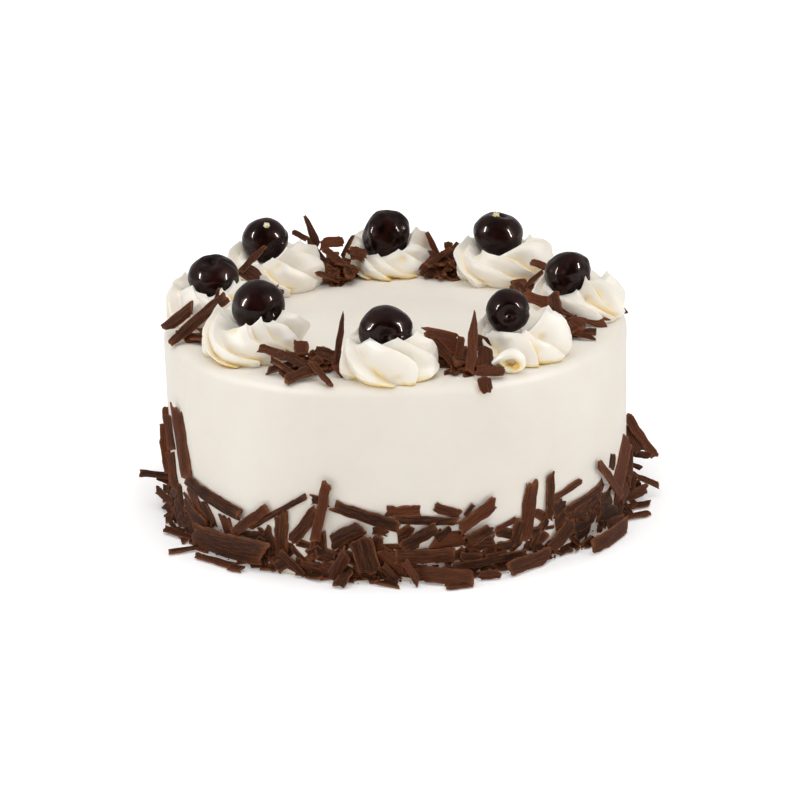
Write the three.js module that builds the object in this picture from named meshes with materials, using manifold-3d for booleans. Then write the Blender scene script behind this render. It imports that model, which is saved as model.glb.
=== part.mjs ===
// Black forest cake: a round cake in smooth white cream, eight piped rosettes that each hold a dark
// cherry, heaps of chocolate shavings between the rosettes and a thick band of shavings round the foot.
// Millimetres, +Z up. The origin is the middle of the flat underside and the front faces -Y.
// Azimuths are in degrees: 0 is the front, 90 the right, 180 the back and -90 the left.
import * as THREE from 'three';
import { mergeVertices } from 'three/addons/utils/BufferGeometryUtils.js';
import Module from 'manifold-3d';

// The cake
const CAKE_RADIUS = 103;
const CAKE_HEIGHT = 85;
const CAKE_SIDES = 48;
const TOP_EDGE_ROUND = 4.5;
const TOP_EDGE_STEPS = 3;
const FOOT_EDGE = 1;

// Pieces that rest on each other keep this gap
const GAP = 0.3;

// Rosettes and cherries
const ROSETTE_HOLLOW = 9;
const ROSETTE_RINGS = [0, 0, 1, 2, 3];
const CROWN_RING = 3;
const FOOT_TUCK = 0.1;
const LOWEST_EDGE = 0.5;
const TOOTH_DROP = 1.5;
const TOOTH_SHARPNESS = 0.6;
const CREASE_LEAN = { most: 4, share: 0.1 };
const CREASE_DEPTH = { least: 1.3, more: 2.1, start: 0.12, span: 0.75 };
const LOBE_SLOPE = { foot: 12, more: 50 };
const FULL_LOBE = 13;
const LOBE_ROOM = { least: 0.3, most: 1.3 };
const ROUNDED_LOBE = 0.45;
const ROSETTE_SPACE = 0.7;
const CHERRY_SIDES = 11;
const CHERRY_RINGS = 7;
const CHERRY_DIMPLE = 2.2;
const CHERRY_STEM_DENT = 1.2;
const DIMPLE_EDGE = 0.93;

// Chocolate shavings
const SHAVING_THICKNESS = 1.4;
const SHAVING_SEAT = 0.5;
const FLOOR_CLEARANCE = 0.3;
const LONG_SHAVING = 27;
const END_SKEW = 0.9;
const GROUND_HEIGHT = 2.2;
const GROUND_FACING = 3;
const SIDE_FACING = 0.8;
const SIDE_LIFT = 0.3;
const SIDE_AZIMUTHS = { from: 55, full: 78, last: 92 };
const PRESS_STEP = 0.5;
const PRESS_LIMIT = 10;
const LEAST_CONTACT = 1;
const MERGE_DISTANCE = 0.06;
const FRONT_SEED = 11;

// Shavings of the back, each value drawn from its least to its least and more
const BACK_SHAVINGS = 52;
const BACK_SEED = 37;
const BACK_AZIMUTHS = { least: 92, more: 176 };
const BACK_LEVELS = 4;
const BACK_LENGTH = { least: 14, more: 22, power: 1.5 };
const LEANING_SLANT = { least: -35, more: 70 };
const STANDING_SLANT = { least: 60, more: 60 };
const BACK_WIDTH = { least: 3.5, more: 6 };
const BACK_HEIGHT = { least: 6, more: 6, level: 8 };
const BACK_OFF = 2.5;
const BACK_TILT = 1.5;
const LYING_HEIGHT = 2;
const LYING_INNER = 0.5;
const LYING_OUTER = { least: 5, more: 4 };
const LYING_TURN = { least: -4, more: 8 };

// Heaps
const HEAP_CORE = { across: 8, outward: 17, height: 5.5, sides: 8, rings: 4, lift: 1 };
const HEAP_FILLERS = 2;
const HEAP_BOW = 0.6;
const FILLER_SPREAD = 12;
const FILLER_INNER = { least: -9, more: 8 };
const FILLER_LENGTH = { least: 10, more: 8 };
const FILLER_HIGH = { least: 3, more: 5 };
const FILLER_LOW = { least: 1.5, more: 5 };
const FILLER_WIDTH = { least: 3, more: 2.5 };

const UP = new THREE.Vector3(0, 0, 1);
const FRONT = new THREE.Vector3(0, -1, 0);

const COLOURS = {
  cream: { color: 0xe4dccf, roughness: 0.62, metalness: 0 },
  piped: { color: 0xebe3d6, roughness: 0.55, metalness: 0 },
  cherry: { color: 0x261517, roughness: 0.12, metalness: 0 },
  chocolate: { color: 0x4b2c22, roughness: 0.5, metalness: 0 },
};

// Eight rosettes. Each stands at an azimuth and a distance from the middle. Its cherry has a place (azimuth,
// distance, height over the cake's top), a radius, a stretch along its axis, the azimuth and tilt of its
// pitted dimple, and how squat it is. A ridge runs from the foot to the crown through four places: its
// angles, counted from the right and anticlockwise as seen from above, its reaches from the rosette's
// middle and its heights over the cake's top. The crease behind it lies at a share of the way to the next
// ridge and has a depth.
const ROSETTES = [
  { place: 'front', azimuth: -2, distance: 80,
    cherry: { azimuth: -2.7, distance: 81, height: 18.4, radius: 11.7, stretch: 0.93, facing: 0, tilt: 7,
      squat: 0.95 },
    ridges: [
      { angles: [275, 246, 213, 200], reaches: [21, 21.5, 20.5, 17.5],
        heights: [0.7, 3.5, 11, 17.5], crease: 0.36, depth: 1.5 },
      { angles: [299, 306, 289, 234], reaches: [21, 20, 16.5, 12.5],
        heights: [0.5, 8, 13.5, 19], crease: 0.2, depth: 1.3 },
      { angles: [329, 351, 329, 288], reaches: [21, 21, 18, 13],
        heights: [1.7, 4.5, 12.2, 19.5], crease: 0.25, depth: 1.3 },
      { angles: [380, 366, 345, 322], reaches: [21, 20.5, 18.5, 14.5],
        heights: [2, 8, 15, 20], crease: 0.25, depth: 1 },
      { angles: [445, 435, 415, 390], reaches: [21, 20, 17, 13],
        heights: [2, 8, 14, 18], crease: 0.25, depth: 1 },
      { angles: [505, 495, 475, 450], reaches: [21, 20, 17, 13],
        heights: [2, 8, 14, 18], crease: 0.25, depth: 1 },
      { angles: [560, 548, 530, 508], reaches: [21.5, 20.5, 18, 14],
        heights: [3, 8, 14, 18], crease: 0.25, depth: 0.9 },
    ] },
  { place: 'front_right', azimuth: 43, distance: 79,
    cherry: { azimuth: 38.4, distance: 77.3, height: 20, radius: 9.5, stretch: 0.94, facing: 2, tilt: 2,
      squat: 1 },
    ridges: [
      { angles: [250, 235, 218, 195], reaches: [22, 21.5, 20, 17],
        heights: [0.5, 4.5, 8.2, 11], crease: 0.2, depth: 1.2 },
      { angles: [287, 282, 265, 205], reaches: [21, 20.5, 16, 14],
        heights: [0.3, 8, 13.7, 12.5], crease: 0.2, depth: 0.9 },
      { angles: [324, 306, 291, 277], reaches: [21.5, 20, 17, 13],
        heights: [2.5, 8.4, 11, 14], crease: 0.25, depth: 1.3 },
      { angles: [350, 345, 338, 312], reaches: [21.5, 21, 18, 14],
        heights: [4, 11, 18, 22], crease: 0.25, depth: 1 },
      { angles: [400, 388, 370, 345], reaches: [21, 20.5, 17.5, 14],
        heights: [2, 9, 15, 20], crease: 0.25, depth: 1 },
      { angles: [455, 440, 420, 390], reaches: [21, 20, 17, 13.5],
        heights: [2, 9, 15, 19], crease: 0.25, depth: 1 },
      { angles: [510, 495, 475, 450], reaches: [21, 20, 17, 13],
        heights: [2, 9, 15, 18], crease: 0.25, depth: 1 },
      { angles: [575, 560, 545, 525], reaches: [21, 21, 19, 15],
        heights: [3, 10, 14.5, 17], crease: 0.3, depth: 1 },
    ] },
  { place: 'right', azimuth: 89, distance: 82,
    cherry: { azimuth: 86.3, distance: 77.4, height: 19.7, radius: 10.7, stretch: 1, facing: 200, tilt: 30,
      squat: 0.97 },
    ridges: [
      { angles: [235, 215, 200, 180], reaches: [21.5, 21.5, 21, 15],
        heights: [4, 9, 14, 18.7], crease: 0.2, depth: 1.1 },
      { angles: [300, 274, 242, 203], reaches: [21.5, 20.5, 18, 15],
        heights: [2.6, 9.7, 12.8, 15.5], crease: 0.3, depth: 1 },
      { angles: [312, 288, 273, 258], reaches: [21.5, 19, 15.5, 12],
        heights: [2.6, 8, 10.6, 14.5], crease: 0.5, depth: 2.2 },
      { angles: [321, 302, 292, 279], reaches: [21.5, 18.5, 15, 12],
        heights: [4.2, 9.1, 15, 20.5], crease: 0.3, depth: 1 },
      { angles: [337, 331, 323, 307], reaches: [21.5, 20.5, 18.5, 15],
        heights: [3, 9, 15.4, 19.4], crease: 0.25, depth: 1 },
      { angles: [380, 365, 350, 335], reaches: [21, 20.5, 18, 14],
        heights: [2, 9, 15, 19.5], crease: 0.25, depth: 1 },
      { angles: [435, 420, 400, 375], reaches: [21, 20, 17, 13],
        heights: [2, 9, 15, 18], crease: 0.25, depth: 1 },
      { angles: [495, 480, 460, 435], reaches: [21, 20, 17, 13],
        heights: [2, 9, 15, 18], crease: 0.25, depth: 1 },
      { angles: [555, 540, 520, 490], reaches: [21, 21, 18, 14],
        heights: [2, 9, 15, 18], crease: 0.25, depth: 1 },
    ] },
  { place: 'back_right', azimuth: 140, distance: 79,
    cherry: { azimuth: 142, distance: 79.5, height: 20.6, radius: 12, stretch: 0.86, facing: 100, tilt: 80,
      squat: 1 },
    ridges: [
      { angles: [235, 210, 190, 165], reaches: [23, 23.5, 22.5, 16],
        heights: [3, 8, 14, 19], crease: 0.2, depth: 0.9 },
      { angles: [306, 277, 253, 212], reaches: [21.5, 21, 19.5, 17],
        heights: [2.9, 5.6, 9.5, 13.3], crease: 0.2, depth: 1.2 },
      { angles: [322, 298, 275, 225], reaches: [21.5, 21, 17.5, 13.5],
        heights: [4, 9, 14, 15.5], crease: 0.3, depth: 1 },
      { angles: [350, 350, 340, 307], reaches: [24, 23.5, 19, 14],
        heights: [4, 11, 17.7, 19.5], crease: 0.25, depth: 1 },
      { angles: [385, 370, 348, 328], reaches: [23, 23, 19.5, 14.5],
        heights: [3, 12, 18.5, 21.5], crease: 0.25, depth: 1 },
      { angles: [440, 425, 400, 370], reaches: [21, 20, 17, 13],
        heights: [2, 9, 15, 19], crease: 0.25, depth: 1 },
      { angles: [495, 480, 455, 430], reaches: [21, 20, 17, 13],
        heights: [2, 9, 15, 18], crease: 0.25, depth: 1 },
      { angles: [550, 530, 510, 485], reaches: [21.5, 20.5, 18, 14],
        heights: [3, 9, 15, 18], crease: 0.25, depth: 1 },
    ] },
  { place: 'back', azimuth: -178.5, distance: 79,
    cherry: { azimuth: -177.5, distance: 77, height: 17.4, radius: 11.3, stretch: 1, facing: 170, tilt: 20,
      squat: 1.06 },
    ridges: [
      { angles: [240, 205, 190, 176], reaches: [21, 21, 19.5, 16],
        heights: [1, 5, 11.5, 17], crease: 0.3, depth: 1 },
      { angles: [272, 253, 231, 197], reaches: [21, 20, 17, 14],
        heights: [0.5, 4.8, 9.5, 13], crease: 0.3, depth: 1.2 },
      { angles: [308, 288, 268, 245], reaches: [21, 20, 17, 13],
        heights: [1.3, 3.5, 7.4, 11], crease: 0.2, depth: 1 },
      { angles: [332, 319, 305, 288], reaches: [21, 19, 16, 13],
        heights: [3, 6.7, 9.7, 13], crease: 0.25, depth: 1.2 },
      { angles: [352, 350, 335, 316], reaches: [21, 19.5, 16.5, 13],
        heights: [4, 8.9, 12.7, 14], crease: 0.3, depth: 1 },
      { angles: [390, 375, 355, 335], reaches: [22, 21.5, 18.5, 14],
        heights: [2.5, 10, 17, 21], crease: 0.25, depth: 1 },
      { angles: [445, 430, 405, 375], reaches: [21, 20, 17, 13.5],
        heights: [2, 9, 15, 18.5], crease: 0.25, depth: 1 },
      { angles: [500, 485, 465, 435], reaches: [21, 20, 17, 13],
        heights: [2, 9, 15, 18], crease: 0.25, depth: 1 },
      { angles: [550, 532, 515, 490], reaches: [21, 20.5, 18, 14.5],
        heights: [2.5, 9, 15, 18], crease: 0.25, depth: 1 },
    ] },
  { place: 'back_left', azimuth: -134, distance: 78,
    cherry: { azimuth: -132.5, distance: 80, height: 22.8, radius: 10.8, stretch: 0.98, facing: -150,
      tilt: 15, squat: 1 },
    ridges: [
      { angles: [225, 205, 190, 168], reaches: [21.5, 21.5, 20, 15],
        heights: [4, 12, 18, 22], crease: 0.2, depth: 1 },
      { angles: [296, 276, 264, 245], reaches: [21.5, 21, 19.5, 15],
        heights: [3.9, 7.4, 11.8, 15.8], crease: 0.25, depth: 1.1 },
      { angles: [343, 314, 294, 272], reaches: [21.5, 19, 16, 13],
        heights: [4.2, 10.8, 15, 17.6], crease: 0.2, depth: 1.2 },
      { angles: [366, 360, 350, 302], reaches: [24, 24, 19.5, 13.5],
        heights: [4, 10, 15.5, 21.5], crease: 0.25, depth: 1 },
      { angles: [410, 385, 365, 328], reaches: [22.5, 22.5, 20, 14.5],
        heights: [3, 12, 18.5, 23], crease: 0.25, depth: 1 },
      { angles: [460, 440, 418, 380], reaches: [21, 20, 17, 13.5],
        heights: [2, 9, 16, 21], crease: 0.25, depth: 1 },
      { angles: [510, 490, 470, 435], reaches: [21, 20, 17, 13],
        heights: [2, 9, 16, 20], crease: 0.25, depth: 1 },
      { angles: [550, 530, 510, 485], reaches: [21.5, 21, 18, 14],
        heights: [3, 10, 16, 20], crease: 0.25, depth: 1 },
    ] },
  { place: 'left', azimuth: -93, distance: 82.5,
    cherry: { azimuth: -92.5, distance: 80.3, height: 20.4, radius: 11.6, stretch: 0.8, facing: -17, tilt: 70,
      squat: 1 },
    ridges: [
      { angles: [240, 222, 205, 188], reaches: [21, 20.5, 19.3, 16],
        heights: [1.5, 6, 13, 18.5], crease: 0.3, depth: 1.3 },
      { angles: [285, 272, 258, 240], reaches: [21.5, 21, 18, 13],
        heights: [2, 8, 14.5, 19.5], crease: 0.25, depth: 1 },
      { angles: [300, 288, 276, 267], reaches: [21.5, 21, 17.5, 13],
        heights: [3, 9.5, 13, 15.5], crease: 0.3, depth: 1.3 },
      { angles: [318, 306, 303, 298], reaches: [21.5, 20.5, 17, 13],
        heights: [4, 11, 14.5, 17], crease: 0.3, depth: 1.2 },
      { angles: [345, 332, 325, 323], reaches: [21.5, 21, 18, 13.5],
        heights: [4, 12, 17.5, 19], crease: 0.25, depth: 1 },
      { angles: [395, 375, 360, 352], reaches: [21.5, 20.5, 18, 13.5],
        heights: [3, 10, 16, 19], crease: 0.25, depth: 1 },
      { angles: [450, 430, 410, 390], reaches: [21, 20, 17, 13],
        heights: [2, 9, 15, 18.5], crease: 0.25, depth: 1 },
      { angles: [505, 485, 465, 440], reaches: [21, 20, 17, 13],
        heights: [2, 9, 15, 18], crease: 0.25, depth: 1 },
      { angles: [555, 538, 520, 500], reaches: [19.5, 19.3, 17.5, 14],
        heights: [2.5, 10, 16, 19], crease: 0.25, depth: 1 },
    ] },
  { place: 'front_left', azimuth: -52, distance: 79,
    cherry: { azimuth: -51, distance: 75, height: 20.9, radius: 11.6, stretch: 1, facing: 47, tilt: -8,
      squat: 1 },
    ridges: [
      { angles: [258, 225, 192, 160], reaches: [22, 21.5, 20, 14],
        heights: [1, 4.5, 12.5, 20.5], crease: 0.2, depth: 1 },
      { angles: [283, 251, 223, 198], reaches: [22, 21, 19.5, 14.5],
        heights: [3.2, 6.1, 11, 17], crease: 0.2, depth: 1.2 },
      { angles: [304, 288, 273, 266], reaches: [21.5, 19, 16, 13],
        heights: [4.5, 8.7, 12.2, 17.5], crease: 0.45, depth: 1.3 },
      { angles: [330, 311, 301, 298], reaches: [21.5, 19, 15.5, 13],
        heights: [4.3, 9.2, 13.8, 20], crease: 0.3, depth: 1 },
      { angles: [350, 345, 338, 322], reaches: [21.5, 20, 16.5, 13],
        heights: [5, 9.5, 14, 16.5], crease: 0.25, depth: 1.1 },
      { angles: [387, 375, 358, 345], reaches: [25, 26.5, 22, 15],
        heights: [4, 10, 16.5, 20.5], crease: 0.3, depth: 1.4 },
      { angles: [440, 420, 400, 380], reaches: [21, 20, 17, 13],
        heights: [2, 9, 15, 19], crease: 0.25, depth: 1 },
      { angles: [495, 475, 455, 430], reaches: [21, 20, 17, 13],
        heights: [2, 9, 15, 18.5], crease: 0.25, depth: 1 },
      { angles: [550, 530, 508, 478], reaches: [20.5, 20, 17.5, 13.5],
        heights: [2.5, 9, 15, 19], crease: 0.25, depth: 1 },
    ] },
];

// Shavings at the foot that the front shows. Both ends of each are given by azimuth, height and distance
// off the wall, and the last number is the width.
const FOOT_SHAVINGS = [
  // Left side
  [-67, 59, 1, -62.5, 29, 1.5, 9],
  [-77, 50, 0.5, -73, 36, 0.5, 5],
  [-82, 51, 1, -80, 42, 1, 3],
  [-84, 41, 1.5, -82, 19, 1, 5],
  [-75, 34, 0, -71, 18, 0, 7],
  [-62, 28.5, 1.5, -40.5, 22.5, 1.5, 7],
  [-88, 16, 14.5, -86, 15, -1, 3],
  [-89, 12.5, 6.5, -86, 11.5, -1, 2.2],
  [-88, 8, 7, -80, 6, 0, 3.2],
  [-82, 5, 3, -76, 2.5, 1, 3],
  [-65, 17, 1, -53, 11.5, 2, 6.3],
  [-63, 25, 0, -53, 12, 1, 5],
  [-56, 21.5, 0, -51.5, 12.5, 0.5, 6],
  [-69, 22, 0, -68, 8, 0.5, 4],
  [-47, 19.5, 0, -45, 12, 0, 6],
  [-73, 14, 0, -64, 5, 0.5, 5],
  [-56.8, 7, 4.5, -32.3, 9, 4, 11.5],
  [-60, 2, 1, -70, 2, 8, 4],
  [-55, 1.8, 2, -57, 1.5, 16.5, 2.5],
  [-52, 1.2, 10, -40, 1.2, 7, 4],
  [-43, 13.5, 2, -32, 29.5, 1.5, 4.5],
  [-40, 13, 0, -34, 15, 0, 5],
  [-34, 18, 0, -31.5, 7, 0, 8],
  [-38, 18, 0.5, -22.2, 36.8, 0.5, 2.2],
  // Front
  [-28.8, 27, 0.5, -29.3, 6.5, 0.5, 5.5],
  [-29, 11.5, 2, -23, 1.5, 2, 2.6],
  [-26.5, 15.5, 1, -19.3, 31.5, 1, 5.2],
  [-16.5, 44.5, 2, -20, 17.5, 2.5, 4.4],
  [-21.3, 36, 0, -17, 35, 0, 4.5],
  [-15.5, 34, 0.5, 0, 25, 1, 5.2],
  [-16.5, 17.5, 1.5, -8.3, 25.5, 1.5, 7],
  [-9.3, 21, 2.5, -7, 5, 3, 9.5],
  [-12.3, 14.5, 3, -16, 1.5, 4, 5],
  [-21.5, 12.5, 0, -15.5, 10, 0, 7],
  [-24, 6, 0.5, -17, 4, 0.5, 4],
  [-12, 6, 2, -14, 1, 10, 5],
  [-5.5, 14.5, 1, 1, 7, 1, 6],
  [-4.5, 8, 2, -0.5, 1.5, 3, 3.5],
  [-5, 1.3, 3, -0.5, 1.3, 6.5, 4],
  [-6.5, 23.5, 0, -3, 22, 0, 3.2],
  [-3.2, 32, 0, 5, 32, 0, 4.8],
  [-1.5, 28.5, 0.5, 13.5, 26, 1, 3.6],
  [8, 33.3, 0, 14, 28.5, 0.5, 4],
  [22.8, 32.5, 1.5, 13.5, 22.5, 1.5, 6],
  [0.2, 16.5, 2, 8.6, 24.5, 1.5, 5],
  [8, 18.5, 1, 12, 23.3, 1, 3.6],
  [-4.5, 16, 0, 0, 16, 0, 2.6],
  [7.5, 17.5, 0.5, 15.3, 18, 0.5, 7],
  [15, 15.5, 0.5, 22.5, 14.5, 0.5, 7],
  [15.3, 16.5, 2, 22, 21.5, 2, 5.4],
  [22.6, 19.5, 0.5, 28.8, 22.5, 0.5, 2.6],
  [-1.5, 12, 1.5, 12.5, 11.5, 1.5, 6],
  [23.4, 11.5, 0.5, 27.5, 11.8, 0.5, 4],
  [13.8, 10.3, 1, 19, 8.5, 1, 3.4],
  [12, 6, 1.5, 30.5, 6.8, 1.5, 3.5],
  [3, 4, 1, 15.5, 3.6, 11, 6.5],
  [17, 2.6, 6, 22, 2.6, 8, 3.6],
  [24, 3.8, 8, 37, 3.6, 3, 6.6],
  [0.7, 10.5, 2.5, 3.8, 1.5, 7, 3],
  [9.5, 1.3, 13, 14.5, 1.3, 13, 3],
  // Right side
  [33, 37, 0.5, 30.5, 12, 1, 6],
  [38.3, 39, 1, 37.5, 18.5, 1, 4],
  [49, 30.5, 0.5, 38.5, 27, 0.5, 2.8],
  [42.5, 24.5, 1, 38.7, 21, 1.5, 6],
  [58, 23, 0.5, 42, 19.5, 0.5, 3.8],
  [53, 20, 0, 43, 15.5, 0.3, 2.8],
  [57.5, 19.5, 0, 46.5, 13, 0.3, 2.8],
  [76, 34, 1, 65, 15, 1, 8],
  [65, 33.5, 0, 64, 27, 0, 5],
  [55.5, 35, 2, 66, 13, 3.5, 4],
  [88, 38, 0, 87, 18, 13, 4.5],
  [88, 32, 0, 86, 20, 6, 7],
  [86, 21, 0, 86, 19, 11, 3],
  [85, 12.5, 0, 86, 5, 14.5, 2.8],
  [80, 2.5, 0, 84, 5, 9, 4],
  [76, 1.3, 1, 80, 1.3, 11, 5],
  [67, 1.3, 1, 74, 1.3, 12, 4.5],
  [46, 4, 11, 62, 4, 9.5, 7.5],
  [48, 1.5, 2, 58, 1.5, 9, 5],
  [37, 4.5, 2, 45.5, 14, 1, 7],
  [30.5, 9.8, 0, 36, 7, 0.5, 4.5],
  [45.5, 10.5, 0.5, 55, 11, 0.5, 5],
  [56, 11, 0.5, 66, 6, 1, 7],
  [60, 3.5, 1, 66, 3, 5, 5],
  [69, 9, 0.5, 76, 12, 1, 6],
  [82, 27, 0, 79, 14, 0.5, 6],
];

// Shavings in the heaps on top, one list for each gap between two rosettes. Both ends are given by
// azimuth, distance from the middle and height over the cake's top, and the last number is the width.
const HEAPS = [
  { name: 'chocolate_1', azimuth: 20.5, distance: 74, shavings: [
    [11.5, 64, 8, 24, 66.5, 5.5, 10],
    [13.2, 68, 9, 17.8, 88, 0.9, 4.2],
    [23.5, 70, 9.5, 18.4, 82, 1.5, 3.2],
    [25.7, 77.5, 23, 19.7, 90, 1, 3.6],
    [26, 73, 9.5, 31, 76, 6, 6.5],
    [25, 80, 8.5, 23.3, 92, 2.5, 6.6],
    [20, 95, 2.2, 26, 99, 1.6, 4.4],
  ] },
  { name: 'chocolate_2', azimuth: 66, distance: 75, shavings: [
    [73, 60, 12, 76.7, 95, 1.4, 5.4],
    [71, 71, 14, 70, 76, 7, 5.4],
    [68, 80, 6.5, 68.8, 89, 3, 5.3],
    [63.3, 84, 3, 64, 96, 1.2, 2.6],
    [66, 86, 2, 68.7, 94, 2, 2.8],
  ] },
  { name: 'chocolate_3', azimuth: 114.5, distance: 73, shavings: [
    [120, 64, 5, 113, 69, 6.2, 3],
    [112.7, 62, 3.5, 116.6, 76, 10.2, 2.4],
    [121, 78, 11.7, 114, 79, 9, 4],
    [110, 88, 2, 117, 84, 8, 5],
  ] },
  { name: 'chocolate_4', azimuth: 161, distance: 75, shavings: [
    [168, 76, 19, 163.5, 77, 6, 2.8],
    [156, 81, 14, 162.5, 75, 4, 2.8],
    [169, 65, 2.5, 158, 77, 11, 3],
    [167, 62, 1.5, 160, 73, 9, 2.6],
    [162, 84, 12, 159, 71, 2, 4],
  ] },
  { name: 'chocolate_5', azimuth: -157, distance: 73, shavings: [
    [-150.4, 83, 29, -154, 77, 12, 3.6],
    [-147.5, 86, 21, -152, 80, 15, 3],
    [-162, 74, 17.5, -153.5, 77, 13.5, 5.4],
    [-154, 73.5, 14, -162.5, 58, 3.5, 3.6],
    [-159, 70, 9, -164.3, 69, 20.5, 2.2],
    [-160, 70, 10, -168, 66, 10, 5],
  ] },
  { name: 'chocolate_6', azimuth: -113.5, distance: 74, shavings: [
    [-112, 77, 17, -114.6, 66, 9, 8],
    [-108.5, 73, 15.5, -122, 69.5, 24, 2.8],
    [-106, 66, 10, -112, 74, 4, 3],
    [-116, 88, 3, -110, 80, 9, 5],
  ] },
  { name: 'chocolate_7', azimuth: -72, distance: 78, shavings: [
    [-77, 88, 11, -80, 103, 2.8, 5.4],
    [-74.5, 77, 17, -71.4, 102, 1.3, 5],
    [-73, 97, 1.7, -70, 86, 2.5, 4.6],
    [-78, 79, 21, -77, 81, 8, 2.2],
  ] },
  { name: 'chocolate_8', azimuth: -27.5, distance: 76, shavings: [
    [-37.5, 92, 9.5, -23.4, 91, 5, 4.2],
    [-34, 94, 6.5, -26, 96, 2.5, 2.4],
    [-32.3, 74, 12.5, -30, 80, 3, 6.2],
    [-27.2, 77, 8, -20, 77, 4.5, 5.8],
    [-18, 70, 22.5, -17.7, 83, 2, 3.2],
    [-27, 101, 1, -22.4, 91, 4.5, 4.4],
    [-24, 90, 6.5, -15.5, 100, 1, 2.8],
    [-18.5, 84, 4.5, -14.3, 86, 1, 3.6],
  ] },
];

const wasm = await Module();
wasm.setup();

// A seeded draw between 0 and 1, the same on every run
function seededDraw(seed) {
  let state = seed >>> 0;
  return () => {
    state = (Math.imul(1664525, state) + 1013904223) >>> 0;
    return state / 2 ** 32;
  };
}

function drawn({ least, more }, draw) {
  return least + more * draw();
}

// A point by azimuth, distance from the middle and height
function place(azimuth, distance, height) {
  const angle = THREE.MathUtils.degToRad(azimuth);
  return new THREE.Vector3(distance * Math.sin(angle), -distance * Math.cos(angle), height);
}

function toSolid(geometry) {
  const bare = geometry.clone();
  bare.deleteAttribute('normal');
  bare.deleteAttribute('uv');
  const merged = mergeVertices(bare, 1e-4);
  const corners = merged.index.array;
  const triangles = [];
  for (let i = 0; i < corners.length; i += 3) {
    const [a, b, c] = corners.slice(i, i + 3);
    if (a !== b && b !== c && c !== a) triangles.push(a, b, c);
  }
  return new wasm.Manifold(new wasm.Mesh({
    numProp: 3,
    vertProperties: Float32Array.from(merged.attributes.position.array),
    triVerts: Uint32Array.from(triangles),
  }));
}

// The largest body of a joined solid, without the scraps and sealed hollows that joining leaves
function largestBody(solid) {
  const bodies = solid.decompose();
  const largest = bodies.reduce((first, body) => (body.volume() > first.volume() ? body : first));
  return largest.simplify(MERGE_DISTANCE);
}

function toMesh(name, solid, look) {
  const data = solid.getMesh();
  const geometry = new THREE.BufferGeometry();
  geometry.setAttribute('position', new THREE.BufferAttribute(new Float32Array(data.vertProperties), 3));
  geometry.setIndex(new THREE.BufferAttribute(new Uint32Array(data.triVerts), 1));
  geometry.computeVertexNormals();
  const mesh = new THREE.Mesh(geometry, new THREE.MeshStandardMaterial(look));
  mesh.name = name;
  return mesh;
}

// The round body: a lathed outline with a soft top edge. The margin makes it larger all round, for cutting.
function cakeBody(margin = 0) {
  const radius = CAKE_RADIUS + margin;
  const height = CAKE_HEIGHT + margin;
  const outline = [
    new THREE.Vector2(0, -margin),
    new THREE.Vector2(radius - FOOT_EDGE, -margin),
    new THREE.Vector2(radius, FOOT_EDGE - margin),
  ];
  for (let step = 0; step <= TOP_EDGE_STEPS; step += 1) {
    const angle = (step / TOP_EDGE_STEPS) * Math.PI / 2;
    outline.push(new THREE.Vector2(
      radius - TOP_EDGE_ROUND + TOP_EDGE_ROUND * Math.cos(angle),
      height - TOP_EDGE_ROUND + TOP_EDGE_ROUND * Math.sin(angle),
    ));
  }
  outline.push(new THREE.Vector2(0, height));
  return toSolid(new THREE.LatheGeometry(outline, CAKE_SIDES).rotateX(Math.PI / 2));
}

// One shaving from start to end: a thin box, bent by its bow, with ends cut askew and clear of the floor
function shaving({ start, end, width, face, bow, skew }) {
  const along = end.clone().sub(start);
  const length = along.length();
  along.normalize();
  const normal = face.clone().addScaledVector(along, -face.dot(along)).normalize();
  const across = normal.clone().cross(along);
  const middle = start.clone().add(end).multiplyScalar(0.5);
  const pieces = length > LONG_SHAVING ? 2 : 1;
  const geometry = new THREE.BoxGeometry(length, width, SHAVING_THICKNESS, pieces, 1, 1);
  const corners = geometry.attributes.position;
  const corner = new THREE.Vector3();
  let lowest = Infinity;
  for (let i = 0; i < corners.count; i += 1) {
    const x = corners.getX(i);
    const y = corners.getY(i);
    const atEnd = (2 * x) / length;
    const lift = bow * (1 - atEnd ** 2) + corners.getZ(i);
    corner.copy(middle)
      .addScaledVector(along, x + atEnd * skew * y)
      .addScaledVector(across, y)
      .addScaledVector(normal, lift);
    lowest = Math.min(lowest, corner.z);
    corners.setXYZ(i, corner.x, corner.y, corner.z);
  }
  geometry.translate(0, 0, Math.max(0, FLOOR_CLEARANCE - lowest));
  return toSolid(geometry);
}

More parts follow.
